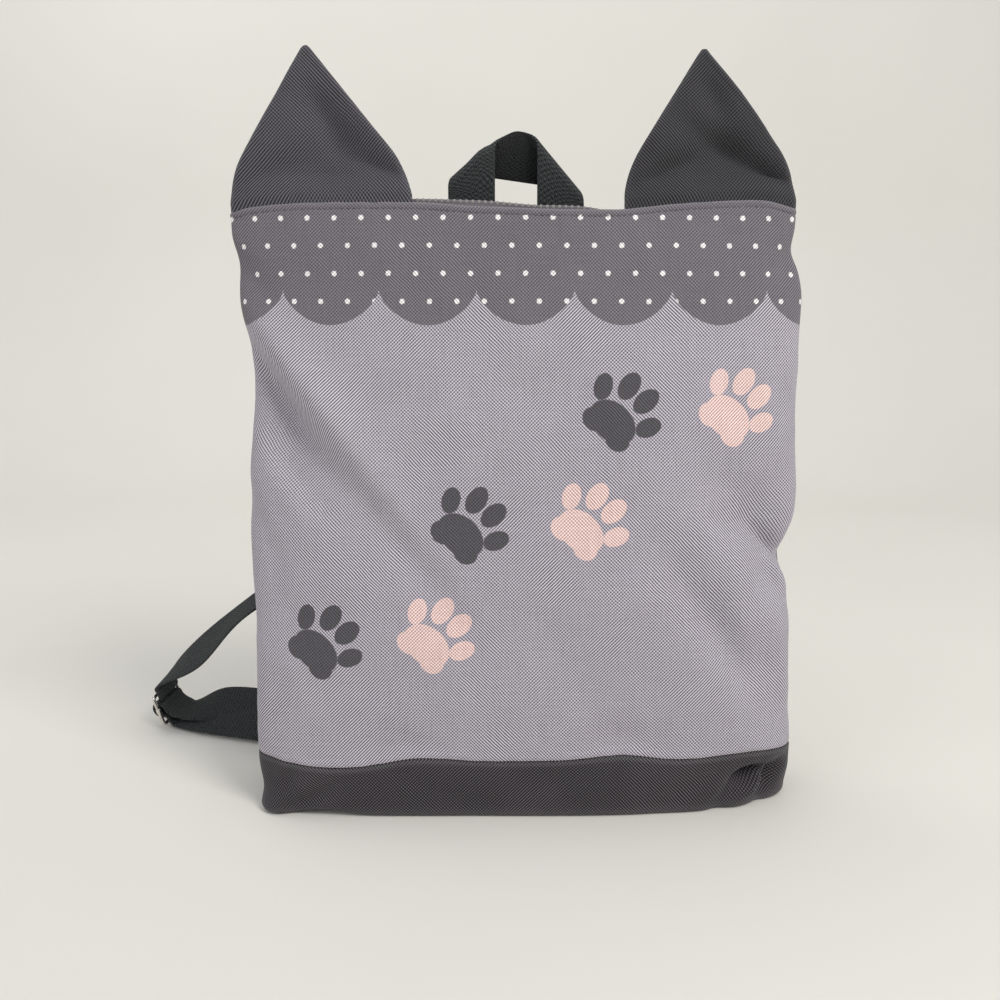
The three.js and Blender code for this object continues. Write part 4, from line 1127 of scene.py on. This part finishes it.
def ear(side, rows, hollows, finer):
    name = "ear_" + side
    half_width = EAR_WIDTH / 2
    middle_x = EAR_MIDDLES[side] * (BODY_WIDTH / 2)
    near_rim = np.array([0, 0.012, 0.03, 0.055, 0.09])
    across = np.concatenate([near_rim, np.linspace(0.12, 0.88, 34), 1 - near_rim[::-1]])
    top_up = rows["up"][-1]
    near_tip = np.array([0.025, 0.012, 0.004, 0])
    up = np.concatenate([np.linspace(0, top_up - 0.04, 46), top_up - near_tip])
    straight = smooth_step(up, 0.3, 0.5)

    def rim_line(column):
        curved = sample(rows, "up", column, up)
        return curved * (1 - straight) + np.interp(up, rows["up"], rows[column]) * straight

    start = rim_line("start")
    end = rim_line("end")

    def seat_point(share_across):
        turn = turn_at(middle_x + share_across * half_width, BODY_HEIGHT, False)
        height = top_edge(turn)
        place = under_skin(turn, height, PANEL_WALL - EAR_WALL / 2)
        place[..., 2] = height + LAY_GAP
        return place

    foot = seat_point(rows["start"][0] + (rows["end"][0] - rows["start"][0]) * across)
    tip_y = seat_point(np.array([(rows["start"][0] + rows["end"][0]) / 2]))[0, 1]
    share = start[:, None] + (end - start)[:, None] * across[None, :]
    level = np.broadcast_to(up[:, None], share.shape)
    y = foot[None, :, 1] * (1 - level) + tip_y * level
    begun = np.minimum(1, level / EAR_HOLLOW_SHARE)
    for i in range(len(hollows["up"])):
        a = (share - hollows["across"][i]) / hollows["spread_across"][i]
        b = (level - hollows["up"][i]) / hollows["spread_up"][i]
        y = y + hollows["back"][i] * EAR_HOLLOW * np.exp(-a * a - b * b) * begun
    for i in range(len(finer["up"])):
        angle = math.radians(finer["turn"][i])
        dx = (share - finer["across"][i]) * half_width / EAR_HEIGHT
        dz = level - finer["up"][i]
        a = (dx * math.cos(angle) + dz * math.sin(angle)) / finer["long"][i]
        b = (dz * math.cos(angle) - dx * math.sin(angle)) / finer["wide"][i]
        y = y + finer["back"][i] * EAR_HOLLOW * np.exp(-a * a - b * b) * begun
    lean = foot[None, :, 0] - (middle_x + share * half_width)
    x = foot[None, :, 0] - lean * np.minimum(1, level / EAR_SEAT_SHARE)
    z = foot[None, :, 2] * (1 - level) + (BODY_HEIGHT + EAR_HEIGHT) * level
    y = y + 0.35 * begun * ripple(x, z, 51 if side == "left" else 52, 16, 50)
    grid = np.stack([x, y, z], axis=2)
    facing = grid_normals(grid)
    width = ((end - start) * half_width)[:, None]
    to_side = np.minimum(across, 1 - across)[None, :] * width
    to_tip = (top_up - level) * EAR_HEIGHT
    to_rim = np.minimum(to_side * 0.85, to_tip + 0.6)
    plump = 0.3 + 0.7 * np.sqrt(np.clip(to_rim / 2.2, 0, 1))
    dent = 0.28 * hump(to_rim, 4.6, 1.0)
    thin_foot = 0.45 + 0.55 * smooth_step(level * EAR_HEIGHT, 0.8, 4.0)
    half = ((EAR_WALL / 2) * plump - dent) * thin_foot
    sunk = 1.5 * (1 - smooth_step(level * EAR_HEIGHT, 0, 3.0))
    behind = 0.55 * (1 - smooth_step(level * EAR_HEIGHT, 0, 3.0))
    grid = grid + np.stack([0 * sunk, behind, -sunk], axis=2)
    # The ear is made lighter along its rim.
    wear_and_painted_light = 0.25 * hump(to_rim, 0.3, 1.2)
    uv = np.stack([x, z], axis=2)
    piece = cloth_shell(name + "_cloth", grid, facing, half, EAR_CLOTH[side], uv, wear_and_painted_light)
    seat(piece, [name])


# The zip


def zip_stations(on_back, line, count):
    reach = ZIP_REACH * (BODY_WIDTH / 2)
    inwards = -1 if on_back else 1
    x = np.linspace(-reach, reach, count)
    turn = turn_at(x, BODY_HEIGHT, on_back)
    edge = top_edge(turn)
    depth = PANEL_WALL + LAY_GAP + TAPE_WALL / 2
    stand = ZIP_STAND * sample(line, "across", "stand", x / (BODY_WIDTH / 2))
    ends = (np.abs(x) / reach) ** 4
    lean = inwards * ZIP_LEAN * (1 - ends)
    low = under_skin(turn, edge - TAPE_WIDTH + ZIP_STAND, depth)
    high = under_skin(turn, edge, depth)
    return low, high, stand, lean, inwards, edge


def zip_half(side, line):
    on_back = side == "back"
    low, high, stand, lean, inwards, edge = zip_stations(on_back, line, 260)
    bead_room = 0.75
    top = high.copy()
    top[:, 2] = edge + stand - bead_room
    top[:, 1] += lean + inwards * TEETH_WIDE / 4
    shares = np.concatenate([np.linspace(0, 0.78, 8), [0.84, 0.88, 0.91, 0.94, 0.97, 0.99, 1.0]])
    grid = low[None] + (top - low)[None] * shares[:, None, None]
    facing = grid_normals(grid)
    length = np.linalg.norm(top - low, axis=1)[None, :]
    to_top = (1 - shares)[:, None] * length
    bead = 0.95 * np.sqrt(np.clip(1 - ((to_top - 0.95) / 0.95) ** 2, 0.02, 1))
    half = np.maximum(TAPE_WALL / 2 * np.ones_like(to_top), bead) * np.where(to_top < 0.05, 0.4, 1)
    name = "zip_tape_" + side
    unworn = np.zeros(grid.shape[:2])
    piece = cloth_shell(name + "_cloth", grid, facing, half, TAPE, grid_uv(grid), unworn)
    seat(piece, [name])

    reach = ZIP_REACH * (BODY_WIDTH / 2)
    count = int(2 * reach / TEETH_PITCH)
    low, high, stand, lean, inwards, edge = zip_stations(on_back, line, count)
    foot = high.copy()
    foot[:, 2] = edge + stand - TEETH_HIGH
    foot[:, 1] += lean + inwards * TEETH_WIDE / 4
    template = rounded_block((1.6, TEETH_WIDE, TEETH_HIGH), 0.4, 2)
    head = rounded_block((0.8, TEETH_WIDE * 0.45, 0.7), 0.22, 2)
    parts = []
    for i in range(1, count - 1):
        way = unit(foot[i + 1] - foot[i - 1])
        sideways = unit(np.cross(UPRIGHT, way))
        above = np.cross(way, sideways)
        axes = np.stack([way, sideways, above])
        middle = foot[i] + UPRIGHT * (TEETH_HIGH / 2 - 0.55)
        parts.append((middle + template[0] @ axes, template[1]))
        crown = foot[i] + UPRIGHT * (TEETH_HIGH - 0.7)
        parts.append((crown + head[0] @ axes, head[1]))
    points, faces = joined(parts)
    piece = mesh_object("zip_teeth_" + side + "_moulded", points, faces, [ZIP_PLASTIC])
    seat(piece, ["zip_teeth_" + side])


def rounded_block(size, radius, segments):
    """A block with rounded edges, centred on the origin, as points and faces."""
    work = bmesh.new()
    bmesh.ops.create_cube(work, size=1)
    for vertex in work.verts:
        vertex.co.x *= size[0]
        vertex.co.y *= size[1]
        vertex.co.z *= size[2]
    bmesh.ops.bevel(
        work, geom=list(work.edges), offset=radius, segments=segments, profile=0.5, affect="EDGES"
    )
    work.verts.index_update()
    points = np.array([vertex.co[:] for vertex in work.verts])
    faces = [[vertex.index for vertex in face.verts] for face in work.faces]
    work.free()
    return points, faces


def zip_slider():
    low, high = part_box("zip_slider")
    low = np.array(low) / MM
    high = np.array(high) / MM
    middle = (low + high) / 2
    size = high - low
    parts = []

    def block(shift, extent, radius):
        points, faces = rounded_block(extent, radius, 2)
        parts.append((middle + np.array(shift) + points, faces))

    plate = 1.1
    long, wide, high_half = size[0], size[1], size[2] / 2
    for sign in (-1, 1):
        block((0, 0, sign * (high_half - plate / 2)), (long, wide * 0.92, plate), 0.45)
    block((long * 0.2, 0, 0), (2.2, 2.0, size[2] - plate), 0.5)
    for sign in (-1, 1):
        block((-0.4, sign * (wide / 2 - 0.6), -high_half + 1.5), (long * 0.8, 0.9, 1.6), 0.35)
    for sign in (-1, 1):
        block((sign * long * 0.25, 0, high_half + 0.5), (1.2, 2.0, 1.6), 0.4)
    block((0, 0, high_half + 1.5), (long * 0.62, 2.0, 0.9), 0.35)
    block((1.2, 2.4, high_half + 0.9), (4.4, 3.6, 1.0), 0.4)
    points, faces = joined(parts)
    piece = mesh_object("zip_slider_body", points, faces, [ZIP_PLASTIC])
    seat(piece, ["zip_slider"])


# Webbing pieces


def webbing_half(across):
    """Half the thickness of webbing at a place across it, with round selvedges."""
    edge = WEBBING_WIDTH / 2
    selvedge = 0.9
    t = np.clip((np.abs(across) - (edge - selvedge)) / selvedge, 0, 1)
    return WEBBING_WALL / 2 * np.sqrt(1 - 0.93 * t * t)


def ribbon(name, grid, node, wear_and_painted_light=None):
    half = webbing_half(ACROSS)[None, :]
    lengths = np.linalg.norm(np.diff(grid[:, grid.shape[1] // 2], axis=0), axis=1)
    along = np.concatenate([[0], np.cumsum(lengths)])
    uv = np.stack(np.broadcast_arrays(ACROSS[None, :], along[:, None]), axis=2)
    piece = cloth_shell(name, grid, grid_normals(grid), half, WEBBING, uv, wear_and_painted_light)
    seat(piece, [node])


ACROSS = np.array([-12.5, -12.35, -12.0, -11.5, -9, -6, -3, 0, 3, 6, 9, 11.5, 12.0, 12.35, 12.5])


def spline(points, t):
    """The centripetal curve through points, at shares t of its number of spans."""
    points = np.asarray(points, float)
    count = len(points)
    place = np.clip(np.asarray(t, float), 0, 1) * (count - 1)
    i = np.minimum(np.floor(place).astype(int), count - 2)
    w = place - i
    first = 2 * points[0] - points[1]
    last = 2 * points[-1] - points[-2]
    padded = np.concatenate([[first], points, [last]])
    p0, p1, p2, p3 = padded[i], padded[i + 1], padded[i + 2], padded[i + 3]

    def pace(a, b):
        return np.sum((a - b) ** 2, axis=1) ** 0.25

    d0, d1, d2 = pace(p0, p1), pace(p1, p2), pace(p2, p3)
    d1 = np.where(d1 < 1e-4, 1.0, d1)
    d0 = np.where(d0 < 1e-4, d1, d0)[:, None]
    d2 = np.where(d2 < 1e-4, d1, d2)[:, None]
    d1 = d1[:, None]
    t1 = ((p1 - p0) / d0 - (p2 - p0) / (d0 + d1) + (p2 - p1) / d1) * d1
    t2 = ((p2 - p1) / d1 - (p3 - p1) / (d1 + d2) + (p3 - p2) / d2) * d1
    w = w[:, None]
    w2 = w * w
    w3 = w2 * w
    return (2 * w3 - 3 * w2 + 1) * p1 + (w3 - 2 * w2 + w) * t1 + (3 * w2 - 2 * w3) * p2 + (w3 - w2) * t2


def webbing(node, stations):
    """Webbing along stations, each a place and the direction across the webbing there."""
    per_span = 9
    places = np.array([station[0] for station in stations])
    ways = np.array([station[1] for station in stations])
    count = (len(stations) - 1) * per_span
    t = np.linspace(0, 1, count + 1)
    delta = 1e-4
    place = spline(places, t)
    tangent = unit(spline(places, t + delta) - spline(places, t - delta))
    across = spline(ways, t)
    across = unit(across - tangent * (across * tangent).sum(axis=1)[:, None])
    grid = place[:, None] + across[:, None] * ACROSS[None, :, None]
    ribbon(node + "_webbing", grid, node)


def body_middle_x():
    right = smooth_skin(0, BODY_HEIGHT)[0]
    left = smooth_skin(2, BODY_HEIGHT)[0]
    return (right + left) / 2 + HANDLE_ASIDE


def grab_handle():
    middle_x = body_middle_x()
    leg_x = (HANDLE_GAP + WEBBING_WIDTH) / 2
    wrap = math.pi * HANDLE_FOLD_RADIUS
    angles = [math.pi / 4 - HANDLE_TILT / 2, math.pi / 4 + HANDLE_TILT / 2]

    def band_start(angle):
        return -wrap * math.sin(angle), wrap * math.cos(angle)

    left_x, left_z = band_start(angles[0])
    right_x, right_z = band_start(angles[1])
    band_x = 2 * leg_x - left_x - right_x
    drop = band_x * math.tan(HANDLE_TILT) - (left_z - right_z)
    band_half = band_x / math.cos(HANDLE_TILT) / 2
    rises = [HANDLE_RISE, HANDLE_RISE - drop]
    across = ACROSS[None, :]

    def half(side):
        angle = angles[side]
        shear = math.tan(angle)
        leg = rises[side] + HANDLE_SEWN
        fold = wrap / math.cos(angle)
        s = np.concatenate([
            np.linspace(-leg, 0, 30), np.linspace(0, fold, 40)[1:], np.linspace(fold, band_half, 16)[1:],
        ])
        slant = np.concatenate([np.linspace(0, 1, 30), np.ones(39), np.linspace(1, 0, 16)[1:]])
        along = s[:, None] + slant[:, None] * shear * across
        a = across * math.cos(angle) + along * math.sin(angle)
        b = along * math.cos(angle) - across * math.sin(angle)
        bend = np.clip(b / HANDLE_FOLD_RADIUS, 0, math.pi)
        past = np.where(b > wrap, wrap - b, np.where(b > 0, HANDLE_FOLD_RADIUS * np.sin(bend), b))
        depth = HANDLE_FOLD_RADIUS * (1 - np.cos(bend))
        x = a * math.cos(angle) - past * math.sin(angle)
        z = a * math.sin(angle) + past * math.cos(angle)
        sign = 1 if side == 0 else -1
        place_x = middle_x + sign * (x - leg_x)
        place_z = BODY_HEIGHT + rises[side] + z
        turn = turn_at(place_x, np.minimum(place_z, BODY_HEIGHT), True)
        height = np.minimum(place_z, top_edge(turn))
        y = under_skin(turn, height, -(SEAM_GAP + WEBBING_WALL / 2))[..., 1]
        above = place_z - BODY_HEIGHT
        corner = hump(place_x, -15.5, 7.5) * smooth_step(above, 16, 34)
        shoulder = smooth_step(-place_x, 20, 31) * smooth_step(above, 5, 15)
        crown = hump(place_x, -3.5, 6.5) * smooth_step(above, 26, 36)
        settled = place_z - 4.6 * corner - 2.8 * shoulder + 1.2 * crown
        # Painted shade: the band where it runs behind the fold is marked for darkening.
        painted_shade_band = smooth_step(depth, HANDLE_FOLD_RADIUS, 2 * HANDLE_FOLD_RADIUS)
        return np.stack([place_x, y + depth, settled], axis=2), painted_shade_band

    left, left_painted_shade = half(0)
    right, right_painted_shade = half(1)
    grid = np.concatenate([left, right[:-1][::-1]])
    painted_shade_band = np.concatenate([left_painted_shade, right_painted_shade[:-1][::-1]])
    ribbon("grab_handle_webbing", grid, "grab_handle", painted_shade_band)
    stitches = []
    for part in (left, right):
        rows = part[2:20, 4:11]
        corner = [(0, 0), (0, 6), (17, 6), (17, 0), (0, 0)]
        stitches += sewn([rows[i, j] for i, j in corner], np.array([0.0, 1.0, 0.0]))
    return stitches


def fitting(node, slots, slot_length, centre, along, across):
    """A ring or glide bent from round bar, with its middle bar let into small lugs."""
    slot_half = WEBBING_WIDTH / 2 + FITTING_PLAY
    half_wide = slot_half + FITTING_SIDE / 2
    half_long = (slots * slot_length + (slots + 1) * FITTING_BAR) / 2 - FITTING_BAR / 2
    corner = 2.4
    outline = []
    for quarter in range(4):
        cx = (half_wide - corner) * (1 if quarter in (0, 3) else -1)
        cy = (half_long - corner) * (1 if quarter in (0, 1) else -1)
        for angle in np.linspace(0, math.pi / 2, 7) + quarter * math.pi / 2:
            outline.append((cx + corner * math.cos(angle), cy + corner * math.sin(angle)))
    outline = np.array(outline)
    out = np.cross(across, along)
    path = centre + outline[:, :1] * across + outline[:, 1:] * along
    ways = np.tile(out, (len(path), 1))
    parts = [tube(path, FITTING_BAR / 2 * 0.92, FITTING_THICK / 2, ways)]
    if slots == 2:
        reach = np.linspace(-half_wide, half_wide, 9)
        bar = centre + reach[:, None] * across
        bar_ways = np.tile(out, (len(bar), 1))
        parts.append(tube(bar, 1.35, FITTING_THICK / 2 * 0.95, bar_ways, closed=False))
        for sign in (-1, 1):
            block, faces = rounded_block((2.6, 3.6, FITTING_THICK * 1.25), 0.7, 3)
            place = centre + across * sign * half_wide
            parts.append((place + block @ np.stack([across, along, out]), faces))
    points, faces = joined(parts)
    piece = mesh_object(node + "_metal", points, faces, [NICKEL], sharp=60)
    seat(piece, [node])


def strap_set(side):
    sign = side["side"]
    name = side["name"]
    lay_off = LAY_GAP + WEBBING_WALL / 2
    tab_aside = BODY_WIDTH / 2 - TAB_FROM_SIDE

    def back_wall(x, z):
        return under_skin(turn_at(x, z, True), z, -lay_off)

    def tab_place(share):
        return back_wall(sign * (tab_aside + TAB_LENGTH * share), TAB_HEIGHT)

    reach = WEBBING_WIDTH / 3
    tab_x = sign * tab_aside
    tab_across = unit(back_wall(tab_x, TAB_HEIGHT + reach) - back_wall(tab_x, TAB_HEIGHT - reach))
    points = unit(np.array(side["ring_points"], float))
    aside = np.array([-points[1], points[0], 0.0])
    ring_centre = tab_place(TAB_SHARES[-1]) + points * TAB_LENGTH * RING_SHARE
    ring_centre[2] = TAB_HEIGHT
    fitting("ring_" + name, 1, RING_SLOT, ring_centre, points, UPRIGHT)
    bar_offset = (RING_SLOT + FITTING_BAR) / 2

    def round_turn(towards, from_side):
        bar = ring_centre + points * towards * bar_offset
        beside = bar + points * towards * FITTING_BAR

        def way_out(at):
            return (beside + aside * at * TURN_RADIUS, UPRIGHT)

        turned = []
        for share in np.linspace(0, 1, 5):
            angle = math.pi * share
            place = bar - points * towards * TURN_RADIUS * math.sin(angle)
            place = place + aside * from_side * TURN_RADIUS * math.cos(angle)
            turned.append((place, UPRIGHT))
        return [way_out(from_side), *turned, way_out(-from_side)]

    second = np.array([0, WEBBING_WALL + LAY_GAP, 0])

    def layer(shift):
        return [(tab_place(share) + shift, tab_across) for share in TAB_SHARES]

    tab_stations = [*layer(0 * second), *round_turn(-1, -sign), *layer(second)[::-1]]
    webbing("tab_" + name, tab_stations)

    glide_centre = ring_centre + STRAP_LOOP * np.array(side["glide"], float)
    glide_up = unit(np.array(side["glide_up"], float))
    glide_across = unit(np.cross(glide_up, np.array(side["glide_out"], float)))
    glide_out = unit(np.cross(glide_across, glide_up))
    if glide_across[1] < 0:
        glide_across = -glide_across
    fitting("glide_" + name, 2, GLIDE_SLOT, glide_centre, glide_up, glide_across)
    spacing = GLIDE_SLOT + FITTING_BAR

    def on_glide(along, out):
        return (glide_centre + glide_up * along * spacing + glide_out * out * spacing, glide_across)

    through = [on_glide(along, out) for along, out in THREADING[1:][::-1]]
    through += [on_glide(-along, out) for along, out in THREADING[:-1]]
    through += [on_glide(*FLOOR_EXIT)]
    end_on_glide = [on_glide(along, out) for along, out in SEWN_END]

    anchor_x = body_middle_x() + sign * STRAP_ASIDE
    anchor_top = BODY_HEIGHT - STRAP_BELOW_TOP
    anchor = []
    for z in np.linspace(anchor_top, anchor_top - STRAP_SEWN, 4):
        right_edge = back_wall(anchor_x + WEBBING_WIDTH / 2, z)
        left_edge = back_wall(anchor_x - WEBBING_WIDTH / 2, z)
        anchor.append((back_wall(anchor_x, z), unit(left_edge - right_edge)))

    def run(rows, start, end):
        stations = []
        for along, x, y, z, face_x, face_y, face_z in rows:
            place = start[0] + (end[0] - start[0]) * along + np.array([x, y, z]) * STRAP_BOW
            stations.append((place, unit(np.array([face_x, face_y, face_z]))))
        return stations

    strap_turn = round_turn(1, -np.sign(aside[1]))
    stations = [
        *anchor,
        *run(side["upper"], anchor[-1], through[0]),
        *through,
        *run(side["floor"], through[-1], strap_turn[0]),
        *strap_turn,
        *run(side["back"], strap_turn[-1], end_on_glide[0]),
        *end_on_glide,
    ]
    webbing("strap_" + name, stations)

    top_face = anchor[0][0]
    low_face = anchor[3][0]
    way = anchor[0][1]
    out = unit(np.cross(way, top_face - low_face))
    if out[1] < 0:
        out = -out
    box_half = 9.5
    high = top_face + (low_face - top_face) * 0.1
    low = top_face + (low_face - top_face) * 0.92
    corners = [high - way * box_half, high + way * box_half, low + way * box_half, low - way * box_half]
    paths = [[*corners, corners[0]], [corners[0], corners[2]], [corners[1], corners[3]]]
    stitches = []
    for path in paths:
        stitches += sewn(path, out)
    return stitches


# Floor, light and camera


def stage_set():
    half_wide = 2.2
    near = -1.6
    turn_at_y = 0.9
    radius = 0.5
    profile = [(near, 0.0), (turn_at_y, 0.0)]
    for angle in np.radians(np.linspace(8, 90, 12)):
        profile.append((turn_at_y + radius * math.sin(angle), radius * (1 - math.cos(angle))))
    profile.append((turn_at_y + radius, 3.0))
    points = []
    faces = []
    for i, (y, z) in enumerate(profile):
        points += [(-half_wide, y, z), (half_wide, y, z)]
        if i:
            faces.append([2 * i - 2, 2 * i - 1, 2 * i + 1, 2 * i])
    mesh = bpy.data.meshes.new("studio_ground")
    mesh.from_pydata(points, [], faces)
    mesh.materials.append(ground_material())
    mesh.polygons.foreach_set("use_smooth", np.ones(len(faces), dtype=bool))
    ground = bpy.data.objects.new("studio_ground", mesh)
    bpy.context.collection.objects.link(ground)


def area_light(name, place, target, size, energy, tint):
    data = bpy.data.lights.new(name, "AREA")
    data.shape = "DISK"
    data.size = size
    data.energy = energy
    data.color = tint
    light = bpy.data.objects.new(name, data)
    place = np.array(place, float)
    back = unit(place - np.array(target, float))
    side = unit(np.cross(UPRIGHT, back))
    up = np.cross(back, side)
    matrix = np.eye(4)
    matrix[:3, 0] = side
    matrix[:3, 1] = up
    matrix[:3, 2] = back
    matrix[:3, 3] = place
    light.matrix_world = Matrix(matrix.tolist())
    bpy.context.collection.objects.link(light)


def light_and_camera():
    world = bpy.data.worlds.new("studio")
    world.use_nodes = True
    background = world.node_tree.nodes["Background"]
    background.inputs[0].default_value = SKY_COLOUR
    background.inputs[1].default_value = SKY_STRENGTH
    bpy.context.scene.world = world
    for light in LIGHTS:
        area_light(*light)
    data = bpy.data.cameras.new("photo_camera")
    data.sensor_fit = "HORIZONTAL"
    data.sensor_width = SENSOR_WIDTH
    data.lens = SENSOR_WIDTH * LENS_PER_SENSOR
    data.clip_start = 0.01
    camera = bpy.data.objects.new("photo_camera", data)
    camera.location = CAMERA_PLACE
    camera.rotation_euler = (CAMERA_TILT, 0, 0)
    bpy.context.collection.objects.link(camera)
    bpy.context.scene.camera = camera
    bpy.context.scene.view_settings.view_transform = "Standard"


light_and_camera()
stage_set()
grey_stitches = body_panel("front_panel", 2, 11, PRINTED)
dark_stitches = body_panel("back_panel", 0, 17, EAR_CANVAS)
base_panel()
ear("left", LEFT_EAR_ROWS, LEFT_EAR_HOLLOWS, LEFT_EAR_FOLDS)
ear("right", RIGHT_EAR_ROWS, RIGHT_EAR_HOLLOWS, RIGHT_EAR_FOLDS)
zip_half("front", FRONT_ZIP_LINE)
zip_half("back", BACK_ZIP_LINE)
zip_slider()
dark_stitches += grab_handle()
for strap_side in STRAP_SIDES:
    dark_stitches += strap_set(strap_side)
for label, stitches, thread, slot in (
    ("grey", grey_stitches, THREAD_GREY, "printed_canvas"),
    ("dark", dark_stitches, THREAD_DARK, "webbing"),
):
    piece_points, piece_faces = joined(stitches)
    stitching = mesh_object("stitching_" + label, piece_points, piece_faces, [thread], sharp=80)
    seat(stitching, [])
